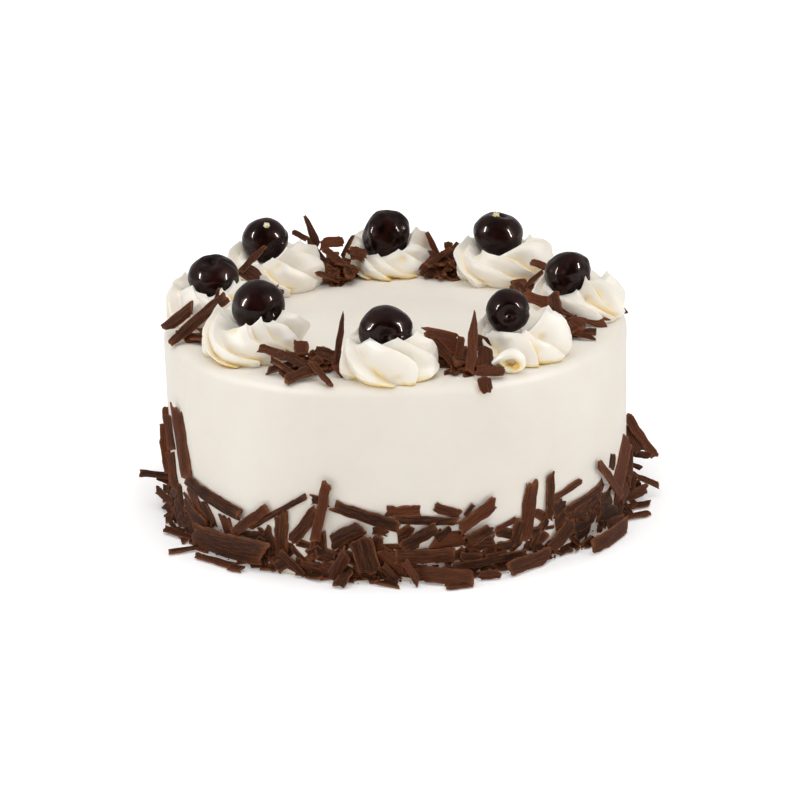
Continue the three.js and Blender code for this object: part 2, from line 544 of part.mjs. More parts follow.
// A shaving that leans on the wall, bowed with it. One that sticks out or lies on the ground shows its
// broad side upwards instead, and one at the left or right end of the cake turns it towards the front.
function wallShaving([azimuth0, height0, off0, azimuth1, height1, off1, width], draw) {
  const seat = CAKE_RADIUS - SHAVING_SEAT + SHAVING_THICKNESS / 2;
  const start = place(azimuth0, seat + off0, height0);
  const end = place(azimuth1, seat + off1, height1);
  const outward = place((azimuth0 + azimuth1) / 2, 1, 0);
  const along = end.clone().sub(start);
  const length = along.length();
  const sticksOut = Math.abs(along.dot(outward)) / length;
  const onGround = Math.max(height0, height1) < GROUND_HEIGHT ? 1 : 0;
  const upright = sticksOut + GROUND_FACING * onGround;
  const face = outward.clone().multiplyScalar(1 - sticksOut).addScaledVector(UP, upright);
  if (Math.abs(azimuth0) < SIDE_AZIMUTHS.last) {
    const nearest = Math.min(Math.abs(azimuth0), Math.abs(azimuth1));
    const side = THREE.MathUtils.smoothstep(nearest, SIDE_AZIMUTHS.from, SIDE_AZIMUTHS.full);
    const beside = SIDE_FACING * side * (1 - onGround);
    face.normalize().multiplyScalar(1 - beside);
    face.addScaledVector(FRONT, beside).addScaledVector(UP, SIDE_LIFT * beside);
  }
  const halfTurn = THREE.MathUtils.degToRad(azimuth1 - azimuth0) / 2;
  const bow = onGround ? 0 : seat * (1 - Math.cos(halfTurn));
  return shaving({ start, end, width, face, bow, skew: (draw() - 0.5) * END_SKEW });
}

// The back carries shavings by a rule: evenly spread, with drawn heights, lengths and slants. Of every
// four, one lies on the ground and points outwards, two lie along the wall and one stands up against it.
function backShavings(draw) {
  const rows = [];
  for (let i = 0; i < BACK_SHAVINGS; i += 1) {
    const azimuth = BACK_AZIMUTHS.least + (i + draw()) * (BACK_AZIMUTHS.more / BACK_SHAVINGS);
    const level = i % BACK_LEVELS;
    const length = BACK_LENGTH.least + BACK_LENGTH.more * draw() ** BACK_LENGTH.power;
    const slant = drawn(level === BACK_LEVELS - 1 ? STANDING_SLANT : LEANING_SLANT, draw);
    const angle = THREE.MathUtils.degToRad(slant);
    const turn = THREE.MathUtils.radToDeg((length * Math.cos(angle)) / CAKE_RADIUS) / 2;
    const rise = (length * Math.sin(angle)) / 2;
    const width = drawn(BACK_WIDTH, draw);
    const along = drawn(BACK_HEIGHT, draw) + BACK_HEIGHT.level * (level - 1);
    const height = Math.max(along, Math.abs(rise) + width / 2);
    const off = BACK_OFF * draw();
    if (level === 0) {
      const inner = azimuth + drawn(LYING_TURN, draw);
      const outer = drawn(LYING_OUTER, draw);
      rows.push([inner, LYING_HEIGHT, LYING_INNER, azimuth, LYING_HEIGHT, outer, width]);
    } else {
      const farther = off + BACK_TILT * draw();
      rows.push([azimuth - turn, height - rise, off, azimuth + turn, height + rise, farther, width]);
    }
  }
  return rows;
}

// Joins a piece to a solid after moving it step by step, until it touches what is already there
function pressOn(solid, piece, direction) {
  let pressed = piece;
  for (let moved = 0; moved < PRESS_LIMIT; moved += PRESS_STEP) {
    if (solid.intersect(pressed).volume() > LEAST_CONTACT) break;
    pressed = pressed.translate(direction.clone().multiplyScalar(PRESS_STEP).toArray());
  }
  return solid.add(pressed);
}

function cake() {
  const draw = seededDraw(FRONT_SEED);
  const rows = FOOT_SHAVINGS.concat(backShavings(seededDraw(BACK_SEED)));
  const joined = rows.reduce((solid, row) => {
    const inward = place((row[0] + row[3]) / 2, -1, 0);
    return pressOn(solid, wallShaving(row, draw), inward);
  }, cakeBody());
  return largestBody(joined);
}

// A rosette: rings from its tucked foot to the crown, and a closed hollow under the cherry. Each lobe has
// three corners on a ring: its crisp ridge, the crease behind the ridge, and the round back of the next
// lobe. With a margin it is the plain space that the rosette takes up, for cutting what lies against it.
function rosette({ azimuth, distance, ridges }, margin = 0) {
  const rings = ROSETTE_RINGS;
  const columns = ridges.flatMap((ridge, i) => {
    const next = ridges[(i + 1) % ridges.length];
    const whole = i + 1 === ridges.length ? 360 : 0;
    return [0, ridge.crease, ridge.crease + (1 - ridge.crease) * ROUNDED_LOBE].map((share, k) => {
      const fall = margin > 0 ? 0 : [0, 1, (1 - ROUNDED_LOBE) ** 2][k];
      return rings.map((n, row) => {
        const rise = n / CROWN_RING;
        const between = (list, more = 0) => THREE.MathUtils.lerp(ridge[list][n], next[list][n] + more, share);
        const gap = next.angles[n] + whole - ridge.angles[n];
        const plain = between('reaches');
        const lobe = THREE.MathUtils.degToRad(gap) * plain / FULL_LOBE;
        const room = THREE.MathUtils.clamp(lobe, LOBE_ROOM.least, LOBE_ROOM.most);
        const swell = Math.sin(Math.PI * (CREASE_DEPTH.start + CREASE_DEPTH.span * rise));
        const depth = ridge.depth * room * (CREASE_DEPTH.least + CREASE_DEPTH.more * swell);
        const slope = THREE.MathUtils.degToRad(LOBE_SLOPE.foot + LOBE_SLOPE.more * rise);
        const edge = (1 - Math.abs(2 * share - 1)) ** TOOTH_SHARPNESS;
        const tooth = n === CROWN_RING && margin === 0 ? TOOTH_DROP * edge * room : 0;
        const tuck = row === 0 && margin === 0 ? 1 - FOOT_TUCK : 1;
        const reach = (plain - depth * fall * Math.cos(slope)) * tuck + margin;
        const height = between('heights') - depth * fall * Math.sin(slope) - tooth;
        const lean = Math.min(CREASE_LEAN.share * gap, CREASE_LEAN.most);
        const angle = between('angles', whole) - fall * lean;
        const turned = THREE.MathUtils.degToRad(angle);
        return new THREE.Vector3(
          reach * Math.cos(turned),
          reach * Math.sin(turned),
          row === 0 ? 0 : Math.max(height, LOWEST_EDGE) + margin,
        );
      });
    });
  });
  const corners = columns.flat();
  const bottom = corners.push(new THREE.Vector3(0, 0, 0)) - 1;
  const hollow = corners.push(new THREE.Vector3(0, 0, ROSETTE_HOLLOW + 2 * margin)) - 1;
  const triangles = [];
  columns.forEach((column, i) => {
    const here = i * rings.length;
    const beside = ((i + 1) % columns.length) * rings.length;
    triangles.push(bottom, beside, here);
    for (let row = 0; row + 1 < rings.length; row += 1) {
      triangles.push(here + row, beside + row, beside + row + 1);
      triangles.push(here + row, beside + row + 1, here + row + 1);
    }
    triangles.push(here + rings.length - 1, beside + rings.length - 1, hollow);
  });
  const foot = place(azimuth, distance, CAKE_HEIGHT + (margin > 0 ? 0 : GAP));
  const points = corners.flatMap((corner) => corner.add(foot).toArray());
  return new wasm.Manifold(new wasm.Mesh({
    numProp: 3,
    vertProperties: Float32Array.from(points),
    triVerts: Uint32Array.from(triangles),
  }));
}

// A cherry turned on the axis of its dimple, with the dimple pressed in at one pole and a dent at the
// other. With a margin it is the plain space that the cherry takes up, for cutting its seat.
function cherry({ azimuth, distance, height, radius, stretch, facing, tilt, squat }, margin = 0) {
  const size = radius + margin;
  const geometry = new THREE.SphereGeometry(size, CHERRY_SIDES, CHERRY_RINGS);
  const points = geometry.attributes.position;
  for (let i = 0; i < points.count; i += 1) {
    const up = points.getY(i) / size;
    const dimple = margin > 0 ? 0 : CHERRY_DIMPLE * THREE.MathUtils.smoothstep(up, DIMPLE_EDGE, 1);
    const dent = margin > 0 ? 0 : CHERRY_STEM_DENT * THREE.MathUtils.smoothstep(-up, DIMPLE_EDGE, 1);
    points.setY(i, points.getY(i) * stretch - dimple + dent);
  }
  const turned = THREE.MathUtils.degToRad(tilt);
  const axis = place(facing, Math.cos(turned), Math.sin(turned));
  geometry.applyQuaternion(new THREE.Quaternion().setFromUnitVectors(new THREE.Vector3(0, 1, 0), axis));
  geometry.scale(1, 1, squat);
  const centre = place(azimuth, distance, CAKE_HEIGHT + height);
  return toSolid(geometry.translate(centre.x, centre.y, centre.z));
}

// A heap: a low core in the gap between two rosettes, the shavings that show and a few drawn fillers,
// joined and then cut clear of what it lies against
function heap({ azimuth, distance, shavings }, seed, neighbours) {
  const draw = seededDraw(seed);
  const foot = place(azimuth, distance, CAKE_HEIGHT + HEAP_CORE.lift);
  const core = new THREE.SphereGeometry(1, HEAP_CORE.sides, HEAP_CORE.rings).rotateX(Math.PI / 2);
  core.scale(HEAP_CORE.across, HEAP_CORE.outward, HEAP_CORE.height);
  core.rotateZ(THREE.MathUtils.degToRad(azimuth)).translate(foot.x, foot.y, foot.z);
  let solid = toSolid(core);
  const rows = shavings.slice();
  for (let i = 0; i < HEAP_FILLERS; i += 1) {
    const from = azimuth + (draw() - 0.5) * FILLER_SPREAD;
    const to = azimuth + (draw() - 0.5) * FILLER_SPREAD;
    const inner = distance + drawn(FILLER_INNER, draw);
    const high = drawn(FILLER_HIGH, draw);
    const outer = inner + drawn(FILLER_LENGTH, draw);
    rows.push([from, inner, high, to, outer, drawn(FILLER_LOW, draw), drawn(FILLER_WIDTH, draw)]);
  }
  rows.forEach(([azimuth0, distance0, height0, azimuth1, distance1, height1, width]) => {
    const start = place(azimuth0, distance0, CAKE_HEIGHT + height0);
    const end = place(azimuth1, distance1, CAKE_HEIGHT + height1);
    const face = UP.clone().add(FRONT);
    const toCore = foot.clone().sub(start.clone().add(end).multiplyScalar(0.5)).normalize();
    const piece = shaving({ start, end, width, face, bow: HEAP_BOW, skew: (draw() - 0.5) * END_SKEW });
    solid = pressOn(solid, piece, toCore);
  });
  return largestBody(neighbours.reduce((rest, neighbour) => rest.subtract(neighbour), solid));
}

const group = new THREE.Group();
group.add(toMesh('cake', cake(), COLOURS.cream));

ROSETTES.forEach((row) => {
  const seat = cherry(row.cherry, GAP);
  group.add(toMesh(`rosette_${row.place}`, largestBody(rosette(row).subtract(seat)), COLOURS.piped));
  group.add(toMesh(`cherry_${row.place}`, cherry(row.cherry), COLOURS.cherry));
});

HEAPS.forEach((row, i) => {
  const beside = [i, (i + 1) % ROSETTES.length];
  const rosettes = beside.map((n) => rosette(ROSETTES[n], ROSETTE_SPACE));
  const cherries = beside.map((n) => cherry(ROSETTES[n].cherry, GAP));
  const solid = heap(row, i + 1, [cakeBody(GAP), ...rosettes, ...cherries]);
  group.add(toMesh(row.name, solid, COLOURS.chocolate));
});

export default group;
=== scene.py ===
import math

import bmesh
import bpy
import numpy as np
from mathutils import Matrix, Vector, noise


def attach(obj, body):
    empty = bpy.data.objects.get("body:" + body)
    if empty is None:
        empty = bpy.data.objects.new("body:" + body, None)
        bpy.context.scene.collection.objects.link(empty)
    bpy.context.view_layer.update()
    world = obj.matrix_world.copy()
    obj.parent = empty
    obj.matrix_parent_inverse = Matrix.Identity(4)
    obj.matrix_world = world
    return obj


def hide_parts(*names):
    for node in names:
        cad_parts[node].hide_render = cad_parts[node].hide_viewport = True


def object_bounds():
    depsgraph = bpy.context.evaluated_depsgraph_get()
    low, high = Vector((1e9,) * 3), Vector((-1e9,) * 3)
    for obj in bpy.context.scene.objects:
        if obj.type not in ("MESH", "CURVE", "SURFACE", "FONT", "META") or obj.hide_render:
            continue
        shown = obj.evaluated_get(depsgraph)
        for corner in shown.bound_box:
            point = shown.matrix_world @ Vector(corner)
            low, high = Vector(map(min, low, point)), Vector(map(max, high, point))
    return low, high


# Black forest cake. Lengths are in millimetres until a mesh is made, +Z is up and the front faces -Y.
# Azimuths are in degrees: 0 is the front, 90 the right, 180 the back and -90 the left. A drawn size holds its
# least value, how much a draw may add and, where small sizes are commoner, a power of the draw.
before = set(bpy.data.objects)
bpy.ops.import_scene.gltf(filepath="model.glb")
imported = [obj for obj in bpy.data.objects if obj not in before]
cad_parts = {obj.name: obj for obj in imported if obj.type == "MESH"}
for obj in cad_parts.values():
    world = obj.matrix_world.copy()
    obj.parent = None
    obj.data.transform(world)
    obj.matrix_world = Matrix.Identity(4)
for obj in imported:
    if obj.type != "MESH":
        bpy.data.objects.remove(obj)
cad_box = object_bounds()

MM = 0.001
BODY = "root"

# The room that the shavings keep within
EDGE_MARGIN = 0.2
ROOM_LOW, ROOM_HIGH = (np.array(corner) / MM for corner in cad_box)

# The cake: its size, how finely it is cut up, and how uneven the spatula left it
CAKE_RADIUS = 103
CAKE_HEIGHT = 85
TOP_EDGE_ROUND = 4.5
TOP_EDGE_STEPS = 7
FROSTING_SIDES = 160
WALL_CUTS = 30
FACE_RINGS = 13
FACE_RING = 7.2
WALL_DEPTH = 3
FLAT_FOOT = 1
BROAD_WAVE = dict(depth=0.32, across=38, up=30)
RIPPLE = dict(depth=0.16, across=13, start=40)
SPATULA_STROKE = dict(depth=0.2, pace=1.6, up=9, start=3.7)
# Painted golden shade at the foot of the wall, and the height by which it fades
FOOT_SHADE = 0.25
FOOT_SHADE_HEIGHT = 6

# Rosettes: the grid that is rolled round. Columns of a lobe run below 0 from its first ridge down to the
# crease, and from 0 up to the next ridge.
ROSETTE_HEIGHT = 17.5
RISE_SAMPLES = 32
FOOT_ROWS = 3
SEAT_ROWS = 4
LOBE_COLUMNS = (-1, -0.9, -0.75, -0.58, -0.42, -0.28, -0.16, -0.07,
                0, 0.03, 0.07, 0.12, 0.19, 0.28, 0.38, 0.5, 0.62, 0.74, 0.84, 0.92, 0.97)

# The lobes: how far a lobe of full width bulges, how deep its crease is, and how the two swell with rise
FULL_LOBE = 13
LOBE_ROOM = (0.3, 1.3)
LOBE_SLOPE = (12, 50)
LOBE_BULGE = 0.45
BULGE_SWELL = (0.15, 0.7)
CREASE_DEPTH = (1.3, 2.1)
CREASE_SWELL = (0.12, 0.75)
CREASE_LEAN = dict(share=0.1, most=4)
STEEP_SIDE = (0.75, 0.25)
GENTLE_SIDE = (0.4, 0.3)
FOOT_CREASE = 1.3
FOOT_CREASE_RISE = 0.13
RIDGE_WOBBLE = 4
WOBBLE_PACE = (2.4, 1.7, 3.3)
RIDGE_LIP = dict(out=0.3, width=0.6, torn=0.9, pace=14, step=3.1)
FINE_RIDGE = dict(out=0.22, width=0.6, share=0.55)
TOOTH_DROP = 1.5
TOOTH_RISE = 0.8
TOOTH_SHARPNESS = 0.6
TOOTH_POINT = dict(up=1, rise=0.86, width=1.1, step=2.4)
CREAM_WAVES = ((0.6, 8), (0.2, 2.8))
WAVE_CENTRE = np.array([0, 0, 4])
LOWEST_CREAM = 0.5
FOOT_SINK = 0.4
FOOT_TUCK = dict(share=0.1, power=1.5, back=0.25)
SEAT_SAG = 1.5
CHERRY_CLEARANCE = 0.15

# The golden shade: in the creases, at the foot and in the pockets
PATCH_PACE = (2.6, 2.3, 9.1)
CREASE_GOLD = dict(narrow=0.8, wide=3, wide_share=0.62, full_depth=2.4, fade=0.55, patchy=(0.75, 0.7))
FOOT_GOLD = dict(height=2.2, patchy=(0.9, 0.5))
POCKET_DEPTH = 1.3
POCKET_RADIUS = 1.5
POCKET_GOLD = dict(share=0.46, radius=1.7 * POCKET_RADIUS)

# The curled tail of cream beside the front right rosette: places across and up, and its thickness there
TAIL_FRONT = -84
TAIL_DEPTH = 1.3
TAIL = [(40.2, 4.2, 0.7), (42.6, 6, 1.3), (46, 8, 1.8), (49.6, 8.3, 2), (52, 6, 2), (51.6, 3.2, 1.9),
        (48.6, 1.6, 1.6), (45.2, 1.9, 1.2)]
TAIL_SIDES = 20
TAIL_RINGS = 6 * len(TAIL)
TAIL_LEAST = 0.3
TAIL_FLUTES = dict(depth=0.18, count=3)
TAIL_SEAT = 0.2
TAIL_CURL_START = 3
# Painted golden shade on the tail: slight all over, more inside the curl
TAIL_GOLD = dict(base=0.15, inside=1.2, reach=2.4)

# Cherries. Angles from the dimple's axis are in radians.
CHERRY_SIDES = 72
CHERRY_RINGS = 56
CHERRY_SHRINK = 0.02
CHERRY_LUMPS = 0.06
LUMP_PACE = 1.1
SMALL_LUMPS = dict(share=0.35, pace=3)
DIMPLE = ((2.0, 0.12, 0.62), (1.1, 0.02, 0.22))
DIMPLE_RIM = dict(up=0.4, angle=0.32, width=0.08, uneven=0.5)
BASE_DENT = (1.2, 0.05, 0.5)
SUTURE = dict(depth=0.5, width=0.1, start=0.3, full=0.8)

# Pale flecks on two of the cherries, each in a direction from the cherry's middle
FLECK_SIZE = (1.5, 1, 1.2)
FLECK_LUMPS = dict(depth=0.7, pace=1.9, gold=0.5)
FLECKS = dict(back_right=(-0.1, -0.35, 1), back_left=(0.12, -0.6, 0.8))

# Shavings: a plank's strips, and how a shaving is torn, curled, twisted and cut. Rows of teeth and waves hold
# a size, a pace or reach, and a shift, and opposite ends and sides are kept apart in the noise.
PLANK_STRIPS = (14, 6)
CHIP_STRIPS = (5, 3)
EDGE_CROWDING = 0.62
SHAVING_THICKNESS = 1.4
SHAVING_SEAT = 0.5
FLOOR_CLEARANCE = 0.3
SKEW = (-0.45, 0.9)
JAG = dict(width=0.45, most=2.6, length=0.3, drawn=(0.5, 1))
PHASE = 50
THICKNESS = (0.8, 0.8)
CURL = (-0.88, 2.2)
LEAST_CURL = 0.05
CURL_LIFT = 0.0625
TWIST = (-12, 24)
TWIST_LENGTH = 14
END_TEETH = ((1, 0.55, 0), (0.7, 1.7, 30))
END_START = 0.26
END_SPAN = 0.24
TEETH_BACK = 0.2
TEETH_DEPTH = 0.8
SIDE_CUT = (-0.45, 0.9)
END_POINT = dict(width=0.7, below=0.55, power=1.6)
TAPER_POWER = 1.5
SIDE_WAVE = dict(depth=0.36, rows=((1, 6, 20), (0.5, 2, 40)), full_width=5)
SIDES_APART = (9, 4)
THIN_EDGE = dict(share=0.25, power=3)
WARP = dict(depth=0.5, reach=9)
# How tightly the painted edge highlight hugs the ends and the sides
GRAIN_START = (7, 3)
EDGE_HIGHLIGHT_POWER = (14, 8)
DRAWN_TONE = (0.04, 0.84, 1.8)

# How a shaving on the wall is turned: the azimuths where it starts and ends to face the front
GROUND_HEIGHT = 2.2
GROUND_FACING = 3
SIDE_FACING = 0.8
SIDE_AZIMUTHS = (55, 78)
SIDE_LAST = 92
SIDE_DIRECTION = np.array([0, -1, 0.3])

# The back's shavings, by a rule
BACK_SHAVINGS = 52
BACK_SEED = 37
BACK_AZIMUTH = (92, 176)
BACK_LEVELS = 4
BACK_LENGTH = (14, 22, 1.5)
STANDING_SLANT = (60, 60)
LEANING_SLANT = (-35, 70)
BACK_WIDTH = (3.5, 6)
BACK_HEIGHT = (6, 6)
LEVEL_STEP = 8
BACK_OFF = 2.5
BACK_TILT = 1.5
LYING = dict(turn=(-4, 8), height=2, inner=0.5, outer=(5, 4))

# The small chocolate between the long shavings
FOOT_SEED = 11
CURLED_SHAVING = [-62, 28.5]
CURLED_CURL = 2.6
FILL_FLAKES = 360
# The fill flakes' dark tone is painted shade, standing for the shadow in the gaps
FILL_SIZE = dict(length=(5, 9), width=(2.2, 3.8), off=(-0.7, 1.2), slant=(-50, 100), tone=0.22)
FILL_HEIGHT = (1.5, 17, 1.3)
FILL_LOW_HEIGHT = (1.5, 17, 2.6)
FILL_LOW_AZIMUTHS = (-72, -30)
FILL_CROSSWISE = dict(share=0.25, turn=90)
GROUND_FLAKES = 110
GROUND_REACH = (2.5, 2)
GROUND_NEAR = dict(azimuths=(-50, -28), share=0.3)
GROUND_SIZE = dict(off=0.2, turn=(0.6, 1.6), lean=(-1.75, 3.5), low=(0.8, 1), high=(0.8, 2), width=(1.2, 2.2),
                   tone=0.4)
FRONT_CHIPS = 34
FRONT_SIZE = dict(azimuth=(-24, 28), low=(1.2, 5.5), turn=(0.8, 1.6), lean=(-1.5, 3), off=(0.2, 0.6),
                  width=(1.6, 2.4), tone=0.3)
CRUMBS = 260
CRUMB_SIZE = (0.35, 0.75, 2)
CRUMB_HEIGHT = (0, 14, 2.5)
CRUMB_SEAT = 0.8
CRUMB_ON_GROUND = 1.5
CRUMB_OFF_ON_GROUND = (0.2, 4, 2)
CRUMB_OFF_ON_WALL = (0.2, 0.8)
CRUMB_STRETCH = ((0.6, 0.9), (0.6, 0.6), (0.5, 0.4))
CRUMB_TILT = 1.2
CRUMB_CLEARANCE = 0.05
CRUMB_GRAIN = 40
# Crumbs carry a little painted edge highlight all over
CRUMB_HIGHLIGHT = 0.3
FULL_TURN = 6.28

# The heaps' own chocolate
HEAP_SEED = 60
SHARD_BOW = 0.5
SHARD_THICKNESS = (1.2, 0.9)
SHARD_TONE = (0.15, 0.85)
CHIP_AZIMUTH = (-4.5, 9)
CHIP_DISTANCE = (-12, 24)
CHIP_REACH = (3.5, 4.5)
CHIP_LIFT = 0.8
CHIPS_TO_LIFT = 8
CHIP_SLOPE = (-0.45, 0.9)
CHIP_WIDTH = (2.6, 3)
CHIP_FACE = ((-0.5, 1), (-0.9, 1))
CHIP_TONE = 0.3
HEAP_CRUMBS = 6
HEAP_CRUMB_AZIMUTH = (-5.5, 11)
HEAP_CRUMB_DISTANCE = (-11, 22)
HEAP_CRUMB_SIZE = (0.3, 0.4)
HEAP_CRUMB_SEAT = 0.4
SMOOTH_ANGLE = 40

# The camera, from the fit of the cake's rims to the photograph
CAMERA_TARGET = (1.307, 0, 46.249)
CAMERA_DISTANCE = 1277.26
CAMERA_ELEVATION = 18.49
CAMERA_ROLL = -1.462
CAMERA_LENS = 127.65
SENSOR_WIDTH = 36

# The lamps: azimuth, elevation, distance, width and height in metres, power in watts, and whether they
# light the cream or only shine back from the cherries
LAMP_AIM = (0, 0, 0.06)
LAMPS = dict(
    left_strip=(-68, 20, 1.5, 0.3, 1.0, 3.0, True), left_streak=(-68, 28, 1.5, 0.13, 0.8, 55, False),
    right_strip=(68, 20, 1.5, 0.3, 1.0, 3.0, True), right_streak=(68, 28, 1.5, 0.13, 0.8, 55, False),
    overhead=(0, 84, 1.7, 1.8, 1.8, 18.5, True), front_fill=(0, 35, 3.8, 3.2, 2.0, 33.5, True))
ROOM_COLOUR = (1, 0.99, 0.975, 1)
ROOM_LIGHT = {"From Min": -0.75, "From Max": 0.1, "To Min": 0.03, "To Max": 0.5}
FLOOR_SIZE = 8
FLOOR_WHITES = ((0.92, 0.92, 0.92, 1), (0.94, 0.94, 0.94, 1))
# The floor's glow is painted light, weaker near the cake and stronger further out
FLOOR_GLOW = (0.12, 0.9, 0.22, 0.6)
